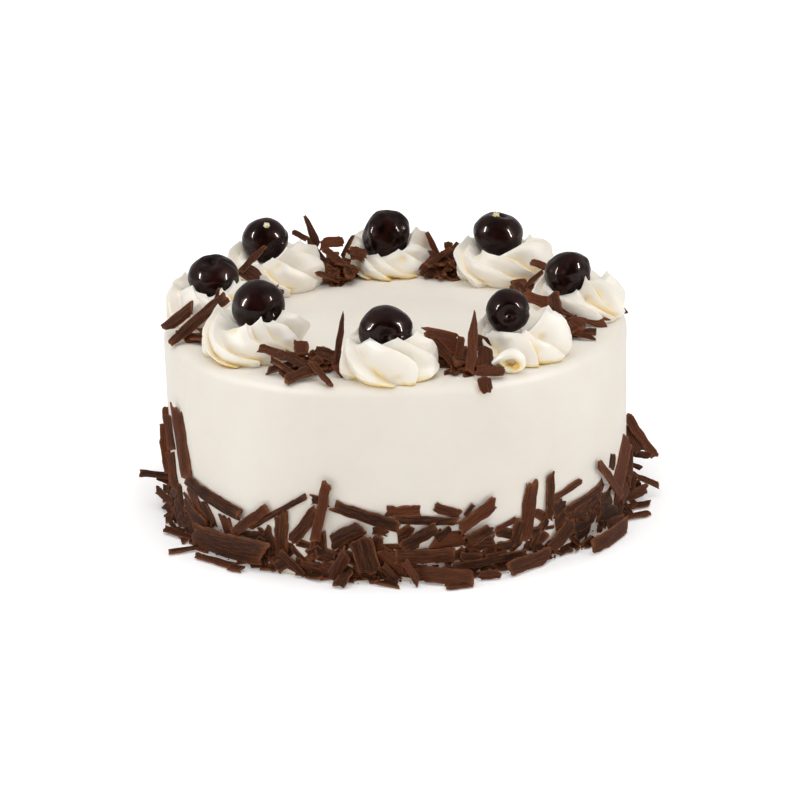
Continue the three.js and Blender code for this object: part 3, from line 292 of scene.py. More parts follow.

# Eight rosettes. Each stands at an azimuth and a distance from the middle. Its cherry has a place (azimuth,
# distance, height over the cake's top), a radius, a stretch along its axis, the azimuth and tilt of its
# pitted dimple, and how squat it is. A ridge runs from the foot to the crown through four places: its
# angles, counted from the right and anticlockwise as seen from above, its reaches from the rosette's middle
# and its heights over the cake's top. The crease behind it lies at a share of the way to the next ridge and
# has a depth. A pocket is a small hollow with painted golden shade, at an angle and a height.
ROSETTES = [
    dict(place="front", azimuth=-2, distance=80, cherry=dict(
        azimuth=-2.7, distance=81, height=18.4, radius=11.7, stretch=0.93, facing=0, tilt=7, squat=0.95),
         pockets=[(282, 3.4)],
         ridges=[
        [(275, 246, 213, 200), (21, 21.5, 20.5, 17.5), (0.7, 3.5, 11, 17.5), 0.36, 1.5],
        [(299, 306, 289, 234), (21, 20, 16.5, 12.5), (0.5, 8, 13.5, 19), 0.2, 1.3],
        [(329, 351, 329, 288), (21, 21, 18, 13), (1.7, 4.5, 12.2, 19.5), 0.25, 1.3],
        [(380, 366, 345, 322), (21, 20.5, 18.5, 14.5), (2, 8, 15, 20), 0.25, 1],
        [(445, 435, 415, 390), (21, 20, 17, 13), (2, 8, 14, 18), 0.25, 1],
        [(505, 495, 475, 450), (21, 20, 17, 13), (2, 8, 14, 18), 0.25, 1],
        [(560, 548, 530, 508), (21.5, 20.5, 18, 14), (3, 8, 14, 18), 0.25, 0.9],
    ]),
    dict(place="front_right", azimuth=43, distance=79, cherry=dict(
        azimuth=38.4, distance=77.3, height=20, radius=9.5, stretch=0.94, facing=2, tilt=2, squat=1),
         pockets=[(303, 11.1)],
         ridges=[
        [(250, 235, 218, 195), (22, 21.5, 20, 17), (0.5, 4.5, 8.2, 11), 0.2, 1.2],
        [(287, 282, 265, 205), (21, 20.5, 16, 14), (0.3, 8, 13.7, 12.5), 0.2, 0.9],
        [(324, 306, 291, 277), (21.5, 20, 17, 13), (2.5, 8.4, 11, 14), 0.25, 1.3],
        [(350, 345, 338, 312), (21.5, 21, 18, 14), (4, 11, 18, 22), 0.25, 1],
        [(400, 388, 370, 345), (21, 20.5, 17.5, 14), (2, 9, 15, 20), 0.25, 1],
        [(455, 440, 420, 390), (21, 20, 17, 13.5), (2, 9, 15, 19), 0.25, 1],
        [(510, 495, 475, 450), (21, 20, 17, 13), (2, 9, 15, 18), 0.25, 1],
        [(575, 560, 545, 525), (21, 21, 19, 15), (3, 10, 14.5, 17), 0.3, 1],
    ]),
    dict(place="right", azimuth=89, distance=82, cherry=dict(
        azimuth=86.3, distance=77.4, height=19.7, radius=10.7, stretch=1, facing=200, tilt=30, squat=0.97,
        lumpy=0.13),
         pockets=[(282, 10.7)],
         ridges=[
        [(235, 215, 200, 180), (21.5, 21.5, 21, 15), (4, 9, 14, 18.7), 0.2, 1.1],
        [(300, 274, 242, 203), (21.5, 20.5, 18, 15), (2.6, 9.7, 12.8, 15.5), 0.3, 1],
        [(312, 288, 273, 258), (21.5, 19, 15.5, 12), (2.6, 8, 10.6, 14.5), 0.5, 2.2],
        [(321, 302, 292, 279), (21.5, 18.5, 15, 12), (4.2, 9.1, 15, 20.5), 0.3, 1],
        [(337, 331, 323, 307), (21.5, 20.5, 18.5, 15), (3, 9, 15.4, 19.4), 0.25, 1],
        [(380, 365, 350, 335), (21, 20.5, 18, 14), (2, 9, 15, 19.5), 0.25, 1],
        [(435, 420, 400, 375), (21, 20, 17, 13), (2, 9, 15, 18), 0.25, 1],
        [(495, 480, 460, 435), (21, 20, 17, 13), (2, 9, 15, 18), 0.25, 1],
        [(555, 540, 520, 490), (21, 21, 18, 14), (2, 9, 15, 18), 0.25, 1],
    ]),
    dict(place="back_right", azimuth=140, distance=79, cherry=dict(
        azimuth=142, distance=79.5, height=20.6, radius=12, stretch=0.86, facing=100, tilt=80, squat=1),
         pockets=[(218, 14.1)],
         ridges=[
        [(235, 210, 190, 165), (23, 23.5, 22.5, 16), (3, 8, 14, 19), 0.2, 0.9],
        [(306, 277, 253, 212), (21.5, 21, 19.5, 17), (2.9, 5.6, 9.5, 13.3), 0.2, 1.2],
        [(322, 298, 275, 225), (21.5, 21, 17.5, 13.5), (4, 9, 14, 15.5), 0.3, 1],
        [(350, 350, 340, 307), (24, 23.5, 19, 14), (4, 11, 17.7, 19.5), 0.25, 1],
        [(385, 370, 348, 328), (23, 23, 19.5, 14.5), (3, 12, 18.5, 21.5), 0.25, 1],
        [(440, 425, 400, 370), (21, 20, 17, 13), (2, 9, 15, 19), 0.25, 1],
        [(495, 480, 455, 430), (21, 20, 17, 13), (2, 9, 15, 18), 0.25, 1],
        [(550, 530, 510, 485), (21.5, 20.5, 18, 14), (3, 9, 15, 18), 0.25, 1],
    ]),
    dict(place="back", azimuth=-178.5, distance=79, cherry=dict(
        azimuth=-177.5, distance=77, height=17.4, radius=11.3, stretch=1, facing=170, tilt=20, squat=1.06,
        lumpy=0.15),
         pockets=[(293, 8.6)],
         ridges=[
        [(240, 205, 190, 176), (21, 21, 19.5, 16), (1, 5, 11.5, 17), 0.3, 1],
        [(272, 253, 231, 197), (21, 20, 17, 14), (0.5, 4.8, 9.5, 13), 0.3, 1.2],
        [(308, 288, 268, 245), (21, 20, 17, 13), (1.3, 3.5, 7.4, 11), 0.2, 1],
        [(332, 319, 305, 288), (21, 19, 16, 13), (3, 6.7, 9.7, 13), 0.25, 1.2],
        [(352, 350, 335, 316), (21, 19.5, 16.5, 13), (4, 8.9, 12.7, 14), 0.3, 1],
        [(390, 375, 355, 335), (22, 21.5, 18.5, 14), (2.5, 10, 17, 21), 0.25, 1],
        [(445, 430, 405, 375), (21, 20, 17, 13.5), (2, 9, 15, 18.5), 0.25, 1],
        [(500, 485, 465, 435), (21, 20, 17, 13), (2, 9, 15, 18), 0.25, 1],
        [(550, 532, 515, 490), (21, 20.5, 18, 14.5), (2.5, 9, 15, 18), 0.25, 1],
    ]),
    dict(place="back_left", azimuth=-134, distance=78, cherry=dict(
        azimuth=-132.5, distance=80, height=22.8, radius=10.8, stretch=0.98, facing=-150, tilt=15, squat=1),
         pockets=[(282, 13.8)],
         ridges=[
        [(225, 205, 190, 168), (21.5, 21.5, 20, 15), (4, 12, 18, 22), 0.2, 1],
        [(296, 276, 264, 245), (21.5, 21, 19.5, 15), (3.9, 7.4, 11.8, 15.8), 0.25, 1.1],
        [(343, 314, 294, 272), (21.5, 19, 16, 13), (4.2, 10.8, 15, 17.6), 0.2, 1.2],
        [(366, 360, 350, 302), (24, 24, 19.5, 13.5), (4, 10, 15.5, 21.5), 0.25, 1],
        [(410, 385, 365, 328), (22.5, 22.5, 20, 14.5), (3, 12, 18.5, 23), 0.25, 1],
        [(460, 440, 418, 380), (21, 20, 17, 13.5), (2, 9, 16, 21), 0.25, 1],
        [(510, 490, 470, 435), (21, 20, 17, 13), (2, 9, 16, 20), 0.25, 1],
        [(550, 530, 510, 485), (21.5, 21, 18, 14), (3, 10, 16, 20), 0.25, 1],
    ]),
    dict(place="left", azimuth=-93, distance=82.5, cherry=dict(
        azimuth=-92.5, distance=80.3, height=20.4, radius=11.6, stretch=0.8, facing=-17, tilt=70, squat=1),
         ridges=[
        [(240, 222, 205, 188), (21, 20.5, 19.3, 16), (1.5, 6, 13, 18.5), 0.3, 1.3],
        [(285, 272, 258, 240), (21.5, 21, 18, 13), (2, 8, 14.5, 19.5), 0.25, 1],
        [(300, 288, 276, 267), (21.5, 21, 17.5, 13), (3, 9.5, 13, 15.5), 0.3, 1.3],
        [(318, 306, 303, 298), (21.5, 20.5, 17, 13), (4, 11, 14.5, 17), 0.3, 1.2],
        [(345, 332, 325, 323), (21.5, 21, 18, 13.5), (4, 12, 17.5, 19), 0.25, 1],
        [(395, 375, 360, 352), (21.5, 20.5, 18, 13.5), (3, 10, 16, 19), 0.25, 1],
        [(450, 430, 410, 390), (21, 20, 17, 13), (2, 9, 15, 18.5), 0.25, 1],
        [(505, 485, 465, 440), (21, 20, 17, 13), (2, 9, 15, 18), 0.25, 1],
        [(555, 538, 520, 500), (19.5, 19.3, 17.5, 14), (2.5, 10, 16, 19), 0.25, 1],
    ]),
    dict(place="front_left", azimuth=-52, distance=79, cherry=dict(
        azimuth=-51, distance=75, height=20.9, radius=11.6, stretch=1, facing=47, tilt=-8, squat=1),
         pockets=[(240, 14.8)],
         ridges=[
        [(258, 225, 192, 160), (22, 21.5, 20, 14), (1, 4.5, 12.5, 20.5), 0.2, 1],
        [(283, 251, 223, 198), (22, 21, 19.5, 14.5), (3.2, 6.1, 11, 17), 0.2, 1.2],
        [(304, 288, 273, 266), (21.5, 19, 16, 13), (4.5, 8.7, 12.2, 17.5), 0.45, 1.3],
        [(330, 311, 301, 298), (21.5, 19, 15.5, 13), (4.3, 9.2, 13.8, 20), 0.3, 1],
        [(350, 345, 338, 322), (21.5, 20, 16.5, 13), (5, 9.5, 14, 16.5), 0.25, 1.1],
        [(387, 375, 358, 345), (25, 26.5, 22, 15), (4, 10, 16.5, 20.5), 0.3, 1.4],
        [(440, 420, 400, 380), (21, 20, 17, 13), (2, 9, 15, 19), 0.25, 1],
        [(495, 475, 455, 430), (21, 20, 17, 13), (2, 9, 15, 18.5), 0.25, 1],
        [(550, 530, 508, 478), (20.5, 20, 17.5, 13.5), (2.5, 9, 15, 19), 0.25, 1],
    ]),
]

# Shavings at the foot that the front shows: azimuth, height and distance off the wall of both ends, width
FOOT_SHAVINGS = [
    # Left side
    [-67, 59, 1, -62.5, 29, 1.5, 9], [-77, 50, 0.5, -73, 36, 0.5, 5], [-82, 51, 1, -80, 42, 1, 3],
    [-84, 41, 1.5, -82, 19, 1, 5], [-75, 34, 0, -71, 18, 0, 7], [-62, 28.5, 1.5, -40.5, 22.5, 1.5, 7],
    [-88, 16, 14.5, -86, 15, -1, 3], [-89, 12.5, 6.5, -86, 11.5, -1, 2.2], [-88, 8, 7, -80, 6, 0, 3.2],
    [-82, 5, 3, -76, 2.5, 1, 3], [-65, 17, 1, -53, 11.5, 2, 6.3], [-63, 25, 0, -53, 12, 1, 5],
    [-56, 21.5, 0, -51.5, 12.5, 0.5, 6], [-69, 22, 0, -68, 8, 0.5, 4], [-47, 19.5, 0, -45, 12, 0, 6],
    [-73, 14, 0, -64, 5, 0.5, 5], [-56.8, 7, 4.5, -32.3, 9, 4, 11.5], [-60, 2, 1, -70, 2, 8, 4],
    [-55, 1.8, 2, -57, 1.5, 16.5, 2.5], [-52, 1.2, 10, -40, 1.2, 7, 4], [-43, 13.5, 2, -32, 29.5, 1.5, 4.5],
    [-40, 13, 0, -34, 15, 0, 5], [-34, 18, 0, -31.5, 7, 0, 8], [-38, 18, 0.5, -22.2, 36.8, 0.5, 2.2],
    # Front
    [-28.8, 27, 0.5, -29.3, 6.5, 0.5, 5.5], [-29, 11.5, 2, -23, 1.5, 2, 2.6],
    [-26.5, 15.5, 1, -19.3, 31.5, 1, 5.2], [-16.5, 44.5, 2, -20, 17.5, 2.5, 4.4],
    [-21.3, 36, 0, -17, 35, 0, 4.5], [-15.5, 34, 0.5, 0, 25, 1, 5.2], [-16.5, 17.5, 1.5, -8.3, 25.5, 1.5, 7],
    [-9.3, 21, 2.5, -7, 5, 3, 9.5], [-12.3, 14.5, 3, -16, 1.5, 4, 5], [-21.5, 12.5, 0, -15.5, 10, 0, 7],
    [-24, 6, 0.5, -17, 4, 0.5, 4], [-12, 6, 2, -14, 1, 10, 5], [-5.5, 14.5, 1, 1, 7, 1, 6],
    [-4.5, 8, 2, -0.5, 1.5, 3, 3.5], [-5, 1.3, 3, -0.5, 1.3, 6.5, 4], [-6.5, 23.5, 0, -3, 22, 0, 3.2],
    [-3.2, 32, 0, 5, 32, 0, 4.8], [-1.5, 28.5, 0.5, 13.5, 26, 1, 3.6], [8, 33.3, 0, 14, 28.5, 0.5, 4],
    [22.8, 32.5, 1.5, 13.5, 22.5, 1.5, 6], [0.2, 16.5, 2, 8.6, 24.5, 1.5, 5], [8, 18.5, 1, 12, 23.3, 1, 3.6],
    [-4.5, 16, 0, 0, 16, 0, 2.6], [7.5, 17.5, 0.5, 15.3, 18, 0.5, 7], [15, 15.5, 0.5, 22.5, 14.5, 0.5, 7],
    [15.3, 16.5, 2, 22, 21.5, 2, 5.4], [22.6, 19.5, 0.5, 28.8, 22.5, 0.5, 2.6],
    [-1.5, 12, 1.5, 12.5, 11.5, 1.5, 6], [23.4, 11.5, 0.5, 27.5, 11.8, 0.5, 4],
    [13.8, 10.3, 1, 19, 8.5, 1, 3.4], [12, 6, 1.5, 30.5, 6.8, 1.5, 3.5], [3, 4, 1, 15.5, 3.6, 11, 6.5],
    [17, 2.6, 6, 22, 2.6, 8, 3.6], [24, 3.8, 8, 37, 3.6, 3, 6.6], [0.7, 10.5, 2.5, 3.8, 1.5, 7, 3],
    [9.5, 1.3, 13, 14.5, 1.3, 13, 3],
    # Right side
    [33, 37, 0.5, 30.5, 12, 1, 6], [38.3, 39, 1, 37.5, 18.5, 1, 4], [49, 30.5, 0.5, 38.5, 27, 0.5, 2.8],
    [42.5, 24.5, 1, 38.7, 21, 1.5, 6], [58, 23, 0.5, 42, 19.5, 0.5, 3.8], [53, 20, 0, 43, 15.5, 0.3, 2.8],
    [57.5, 19.5, 0, 46.5, 13, 0.3, 2.8], [76, 34, 1, 65, 15, 1, 8], [65, 33.5, 0, 64, 27, 0, 5],
    [55.5, 35, 2, 66, 13, 3.5, 4], [88, 38, 0, 87, 18, 13, 4.5], [88, 32, 0, 86, 20, 6, 7],
    [86, 21, 0, 86, 19, 11, 3], [85, 12.5, 0, 86, 5, 14.5, 2.8], [80, 2.5, 0, 84, 5, 9, 4],
    [76, 1.3, 1, 80, 1.3, 11, 5], [67, 1.3, 1, 74, 1.3, 12, 4.5], [46, 4, 11, 62, 4, 9.5, 7.5],
    [48, 1.5, 2, 58, 1.5, 9, 5], [37, 4.5, 2, 45.5, 14, 1, 7], [30.5, 9.8, 0, 36, 7, 0.5, 4.5],
    [45.5, 10.5, 0.5, 55, 11, 0.5, 5], [56, 11, 0.5, 66, 6, 1, 7], [60, 3.5, 1, 66, 3, 5, 5],
    [69, 9, 0.5, 76, 12, 1, 6], [82, 27, 0, 79, 14, 0.5, 6],
]

# Shorter flakes between them
FOOT_FLAKES = [
    [-88, 9, 4, -85, 9, -1, 3], [-41, 1.2, 9, -37, 1.2, 8, 4], [-20, 19, 0, -22, 8, 0, 3],
    [-18, 6, 0.5, -13, 8, 1, 4], [-10, 4, 1, -6, 3, 1, 4], [17.4, 32.5, 0.5, 15, 28, 1, 1.8],
    [-1, 19, 0, 3, 24.5, 0, 5], [61, 14.5, 0, 51, 11.5, 0.3, 3],
    [84, 17, 1, 84, 14.5, 7, 2.4], [86, 6, 0, 86, 5, 7, 2.4], [82, 4, 1, 84, 12, 4, 3],
    [33.5, 15.5, 0, 39.5, 14, 0, 1.6], [33.5, 24, 0, 36.5, 19.5, 0, 4], [57.5, 25, 0, 59, 21, 0, 4],
    [70, 22, 0, 78, 18, 0, 5],
]

# Heaps on top, each with small chips under its shards. A shard has the azimuth, distance from the middle
# and height over the cake's top of both ends, its width, and how far the first and the last end taper.
HEAPS = [
    dict(name="chocolate_1", chips=26, azimuth=20.5, distance=76, shards=[
        [11.5, 63, 9.4, 24, 66, 5.3, 9.7, 0, 0], [13, 68, 10.6, 17.8, 88, 0.8, 4, 0, 0.2],
        [23.5, 70, 9.6, 18.4, 82, 1.3, 3, 0, 0], [25.7, 77.7, 22.8, 19.7, 91.3, 0.8, 3.6, 0.8, 0],
        [26, 74.3, 9.5, 32.5, 79, 5.4, 6.2, 0, 0], [27, 83, 8.5, 23.3, 93.6, 2.7, 6.6, 0, 0],
        [20, 96, 3.2, 27, 100.5, 2, 4.4, 0, 0.4], [20.6, 102.5, 3, 21, 103.9, -4.2, 5.3, 0, 0],
    ]),
    dict(name="chocolate_2", chips=24, azimuth=66, distance=75, shards=[
        [76, 58.7, 13, 76.7, 95.5, 1.2, 5.3, 0, 0], [74, 72, 15, 71, 74.4, 8, 5.3, 0, 0],
        [68.5, 82, 6, 68.8, 88.5, 2.8, 5.3, 0, 0], [63.3, 84.6, 3, 64, 96, 0.9, 2.6, 0, 0.5],
        [67, 87, 1.4, 68.7, 93.6, 1.9, 2.6, 0, 0], [95.6, 101.7, -1, 95.5, 104.4, -4, 1.8, 0, 0],
    ]),
    dict(name="chocolate_3", chips=30, azimuth=114.5, distance=74, shards=[
        [122.7, 63, 4.9, 117.8, 68.5, 6.2, 2, 0.3, 0], [112.7, 62, 3.4, 116.6, 76, 10.2, 2.2, 0.3, 0.2],
        [125, 77, 11.7, 118, 79, 11.3, 3, 0, 0], [110, 88, 2, 117, 84, 8, 5, 0, 0],
    ]),
    dict(name="chocolate_4", chips=44, azimuth=161, distance=74, shards=[
        [168, 75.6, 19, 164.6, 76.8, 7.8, 2.4, 0.3, 0], [157.7, 80, 13.9, 162, 75.6, 3.9, 2.4, 0.4, 0],
        [170.7, 67, 3, 158.6, 75, 11.7, 2.4, 0.4, 0], [169, 63, 1.7, 160.5, 72, 10.9, 2.4, 0.4, 0],
        [167, 61.6, 1, 158.3, 71, 6.5, 2.4, 0.3, 0], [166, 72, 11.5, 159.6, 68.3, 1.2, 2.4, 0, 0.3],
        [162, 84, 12, 159, 71, 2, 4, 0, 0],
    ]),
    dict(name="chocolate_5", chips=52, azimuth=-157, distance=72, shards=[
        [-150.4, 83, 29, -153.3, 78.4, 14.3, 3.5, 0.7, 0], [-146.8, 86, 21.3, -150, 80.7, 18.3, 2.6, 0, 0],
        [-162, 73.5, 17.4, -154, 77.7, 15.2, 5.3, 0, 0], [-154, 73.3, 14.4, -162.5, 58.7, 3.8, 3.5, 0, 0.2],
        [-160, 70, 10.3, -164.3, 68.6, 20.8, 2, 0, 0.4], [-141, 62, 9, -155, 59.5, 2.1, 2.4, 0.5, 0],
        [-163, 71, 10.6, -169, 67, 10.9, 5.3, 0, 0], [-150, 81, 18.5, -154, 76, 9, 3, 0, 0],
        [-163, 70.5, 13.4, -169.5, 70.2, 8.9, 5.5, 0, 0],
    ]),
    dict(name="chocolate_6", chips=28, azimuth=-113.5, distance=73, shards=[
        [-112, 75, 17, -114.6, 67, 11.5, 8, 0, 0.3], [-107.6, 73, 16.3, -123, 69.3, 24.2, 2.6, 0, 0.2],
        [-104.5, 71.7, 13.7, -106, 69, 9.5, 2, 0, 0], [-116, 88, 3, -110, 80, 9, 5, 0, 0],
    ]),
    dict(name="chocolate_7", chips=20, azimuth=-72, distance=82, shards=[
        [-79, 90, 12.4, -80.5, 103, 2.7, 5.3, 0, 0], [-75, 76, 17.5, -71.4, 103.6, 0.2, 5.3, 0, 0.5],
        [-73, 97, 1.7, -71.5, 88, 1, 4.4, 0, 0], [-77.5, 78.5, 20.8, -78, 81, 12, 1.8, 0.5, 0],
    ]),
    dict(name="chocolate_8", chips=28, azimuth=-26.5, distance=80, shards=[
        [-38.6, 92, 10, -30, 91.5, 8, 4, 0, 0], [-33, 91.5, 9, -22.6, 91.5, 4.7, 4, 0, 0],
        [-34, 94, 6.9, -26, 96, 2.6, 2.4, 0, 0], [-32.8, 74, 9.5, -29.7, 80.6, 5.8, 6.2, 0, 0],
        [-27, 76.4, 6.4, -20, 76.6, 4.7, 5.7, 0, 0], [-18, 69.4, 22.6, -17.7, 84, 2.4, 3.1, 0.8, 0],
        [-27, 102, 1, -22.4, 93, 4.6, 4.4, 0, 0], [-23, 91, 6.6, -15.5, 101, 0.4, 2.8, 0, 0.3],
        [-17.3, 86, 4.4, -14.3, 86.7, 1, 3.5, 0, 0],
    ]),
]


# Numbers and places


def seeded_draw(seed):
    """Numbers between 0 and 1, the same on every run."""
    state = [seed]

    def draw():
        state[0] = (1664525 * state[0] + 1013904223) % 2**32
        return state[0] / 2**32

    return draw


def drawn(size, draw):
    """One drawn size: its least value and a share of what may be added."""
    least, more, power = (*size, 1)[:3]
    return least + more * draw() ** power


def at(azimuth, distance, height):
    """A point by azimuth, distance from the middle and height."""
    angle = math.radians(azimuth)
    return np.array([distance * math.sin(angle), -distance * math.cos(angle), height])


def cherry_middle(row):
    spot = row["cherry"]
    return at(spot["azimuth"], spot["distance"], CAKE_HEIGHT + spot["height"])


def unit(direction):
    return direction / np.linalg.norm(direction)


def smoothstep(value, low, high):
    share = np.clip((value - low) / (high - low), 0, 1)
    return share * share * (3 - 2 * share)


def hill(distance, width):
    """1 at no distance, and almost nothing at twice the width."""
    return np.exp(-(distance / width) ** 2)


def unevenness(x, y, z):
    """Smooth noise at every one of many places."""
    return np.array([noise.noise(Vector(place)) for place in np.broadcast(x, y, z)])


def smooth_between(before, start, end, after, share):
    """A smooth curve from start to end, at a share of the way, that flows on from its neighbours."""
    return 0.5 * (2 * start + (end - before) * share + (2 * before - 5 * start + 4 * end - after) * share ** 2
                  + (3 * start - before - 3 * end + after) * share ** 3)


# Hand work on a mesh


def put_down_everything():
    if bpy.context.mode != "OBJECT":
        bpy.ops.object.mode_set(mode="OBJECT")
    bpy.ops.object.select_all(action="DESELECT")


def pick_up(piece):
    put_down_everything()
    piece.select_set(True)
    bpy.context.view_layer.objects.active = piece


def select_faces(piece, wanted):
    """In edit mode, selects the faces whose middle and normal pass the test."""
    bpy.ops.mesh.select_mode(type="FACE")
    bpy.ops.mesh.select_all(action="DESELECT")
    shape = bmesh.from_edit_mesh(piece.data)
    for face in shape.faces:
        face.select = bool(wanted(face.calc_center_median(), face.normal))
    shape.select_flush_mode()
    bmesh.update_edit_mesh(piece.data)


def select_edges(piece, wanted):
    """In edit mode, selects the edges whose two ends pass the test."""
    bpy.ops.mesh.select_mode(type="EDGE")
    bpy.ops.mesh.select_all(action="DESELECT")
    shape = bmesh.from_edit_mesh(piece.data)
    for edge in shape.edges:
        edge.select = bool(wanted(edge.verts[0].co, edge.verts[1].co))
    shape.select_flush_mode()
    bmesh.update_edit_mesh(piece.data)


def cut_lengthwise(piece, axis, length, strips):
    """In edit mode, cuts the edges that run further than a length along an axis into strips."""
    select_edges(piece, lambda a, b: abs(a[axis] - b[axis]) > length)
    bpy.ops.mesh.subdivide(number_cuts=strips - 1)


def new_primitive(name, add, **sizes):
    put_down_everything()
    add(**sizes)
    piece = bpy.context.object
    piece.name = name
    piece.data.name = name
    return piece


def corner_values(piece, kind):
    """The places (co) or normals of a piece's corners, one row each."""
    values = np.empty(len(piece.data.vertices) * 3)
    piece.data.vertices.foreach_get(kind, values)
    return values.reshape(-1, 3)


def move_corners(piece, corners):
    piece.data.vertices.foreach_set("co", np.asarray(corners * MM, float).ravel())
    piece.data.update()


def keep_values(piece, name, values):
    """Stores one number, or three, for each corner of the mesh, for the material to read."""
    values = np.asarray(values, float)
    kind = "FLOAT" if values.ndim == 1 else "FLOAT_VECTOR"
    held = piece.data.attributes.new(name, kind, "POINT")
    held.data.foreach_set("value" if values.ndim == 1 else "vector", values.ravel())


def as_pattern(piece):
    """The corners and faces of a piece, for copies. The piece itself is removed."""
    corners = corner_values(piece, "co")
    faces = [tuple(face.vertices) for face in piece.data.polygons]
    bpy.data.objects.remove(piece)
    return corners, faces


def finish_piece(piece, node, material, smooth_angle=None):
    """Smooth shading, the material, and what the piece stands for."""
    pick_up(piece)
    if smooth_angle is None:
        bpy.ops.object.shade_smooth()
    else:
        bpy.ops.object.shade_smooth_by_angle(angle=math.radians(smooth_angle))
    piece.data.materials.clear()
    piece.data.materials.append(material)
    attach(piece, BODY)
    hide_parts(node)
    put_down_everything()


# Finishes


def colour(red, green, blue):
    """A colour read from the photograph as 0 to 255, as the shader wants it."""
    def to_light(value):
        share = value / 255
        return share / 12.92 if share <= 0.04045 else ((share + 0.055) / 1.055) ** 2.4
    return (to_light(red), to_light(green), to_light(blue), 1)


class Finish:
    """A material whose nodes are added and joined one by one."""

    def __init__(self, name):
        self.material = bpy.data.materials.new(name)
        self.material.use_nodes = True
        self.nodes = self.material.node_tree.nodes
        self.links = self.material.node_tree.links
        self.surface = self.nodes["Principled BSDF"]

    def fill(self, socket, value):
        if isinstance(value, bpy.types.NodeSocket):
            self.links.new(value, socket)
        else:
            socket.default_value = value

    def node(self, kind, inputs=None, **settings):
        made = self.nodes.new(kind)
        for key, value in settings.items():
            setattr(made, key, value)
        for key, value in (inputs or {}).items():
            self.fill(made.inputs[key], value)
        return made

    def set(self, **values):
        for key, value in values.items():
            self.fill(self.surface.inputs[key.replace("_", " ")], value)

    def place(self):
        return self.node("ShaderNodeTexCoord").outputs["Object"]

    def held(self, name, output="Fac"):
        return self.node("ShaderNodeAttribute", attribute_name=name).outputs[output]

    def noise(self, place, scale, detail=3, roughness=0.5):
        made = self.node("ShaderNodeTexNoise", {"Vector": place, "Scale": scale, "Detail": detail,
                                                "Roughness": roughness})
        return made.outputs["Fac"]

    def range(self, value, low, high, to_low=0, to_high=1):
        made = self.node("ShaderNodeMapRange", {"Value": value, "From Min": low, "From Max": high,
                                                "To Min": to_low, "To Max": to_high})
        return made.outputs["Result"]

    def math(self, operation, first, second):
        return self.node("ShaderNodeMath", {0: first, 1: second}, operation=operation).outputs[0]

    def mix(self, share, first, second):
        return self.node("ShaderNodeMix", {0: share, 6: first, 7: second}, data_type="RGBA").outputs[2]

    def bump(self, height, strength, depth_mm, normal=None):
        inputs = {"Height": height, "Strength": strength, "Distance": depth_mm * MM}
        if normal is not None:
            inputs["Normal"] = normal
        return self.node("ShaderNodeBump", inputs).outputs["Normal"]


def cream_finish(name, main, shade, tint, tint_deep):
    """Whipped cream: fine pores, a soft mottle and golden painted shade in creases, hollows and at the foot.
    """
    finish = Finish(name)
    place = finish.place()
    mottle = finish.range(finish.noise(place, scale=22, detail=4, roughness=0.6), 0.35, 0.7)
    base = finish.mix(mottle, shade, main)
    # The golden attribute is painted shade in creases, hollows and at the foot; on the flecks it is their own
    # pale gold
    gold_tint_and_painted_shade = finish.held("gold_tint_and_painted_shade")
    clumps = finish.noise(place, scale=130, detail=2, roughness=0.6)
    patchy = finish.math("MULTIPLY", gold_tint_and_painted_shade, finish.range(clumps, 0.3, 0.62, 0.45, 1.25))
    golden = finish.mix(finish.range(patchy, 0.18, 0.62), base, tint)
    deep = finish.mix(finish.range(patchy, 0.7, 1.05), golden, tint_deep)
    pores = finish.noise(place, scale=1500, detail=2, roughness=0.6)
    soft = finish.noise(place, scale=160)
    fine = finish.bump(pores, strength=0.12, depth_mm=0.08)
    wavy = finish.bump(soft, strength=0.25, depth_mm=0.25, normal=fine)
    finish.set(Base_Color=deep, Roughness=finish.range(mottle, 0, 1, 0.5, 0.6), Normal=wavy)
    finish.set(Subsurface_Weight=0.35, Subsurface_Radius=(1.0, 0.75, 0.5), Subsurface_Scale=0.0035,
               Specular_IOR_Level=0.3)
    return finish.material


def chocolate_finish():
    """Shaved dark chocolate: each flake with its own tone, grain along it, and painted highlight on its
    edges.
    """
    finish = Finish("shaved_chocolate")
    grain = finish.held("grain", "Vector")
    tone = finish.held("tone")
    rim = finish.held("rim")
    streaks = finish.node("ShaderNodeMapping", {"Vector": grain, "Scale": (0.12, 1.9, 1)}).outputs[0]
    lines = finish.noise(streaks, scale=1, detail=4, roughness=0.65)
    spots = finish.noise(grain, scale=0.35, roughness=0.6)
    dark = colour(25, 11, 7)
    middle = colour(90, 45, 26)
    pale = colour(140, 84, 52)
    body = finish.mix(tone, dark, middle)
    lined = finish.mix(finish.range(lines, 0.45, 0.72, 0, 0.4), body, pale)
    scored = finish.mix(finish.range(lines, 0.22, 0.46, 0.6, 0), lined, dark)
    greyed = finish.mix(finish.range(spots, 0.5, 0.8, 0, 0.16), scored, colour(78, 49, 36))
    # Painted highlight on the edges, in patches, where the rim attribute is high
    edge_highlight = finish.mix(finish.math("MULTIPLY", rim, finish.range(spots, 0.3, 0.6, 0.1, 0.75)), greyed, pale)
    grit = finish.noise(grain, scale=3.4, detail=2, roughness=0.7)
    dusted = finish.mix(finish.range(grit, 0.56, 0.76, 0, 0.5), edge_highlight, colour(142, 90, 60))
    pitted = finish.mix(finish.range(grit, 0.24, 0.44, 0.65, 0), dusted, colour(16, 6, 4))
    cut = finish.bump(lines, strength=0.8, depth_mm=0.35)
    rough = finish.bump(grit, strength=0.7, depth_mm=0.3, normal=cut)
    finish.set(Base_Color=pitted, Roughness=finish.range(lines, 0.3, 0.7, 0.5, 0.7), Normal=rough)
    finish.set(Specular_IOR_Level=0.06, Specular_Tint=(1, 0.85, 0.75, 1))
    return finish.material


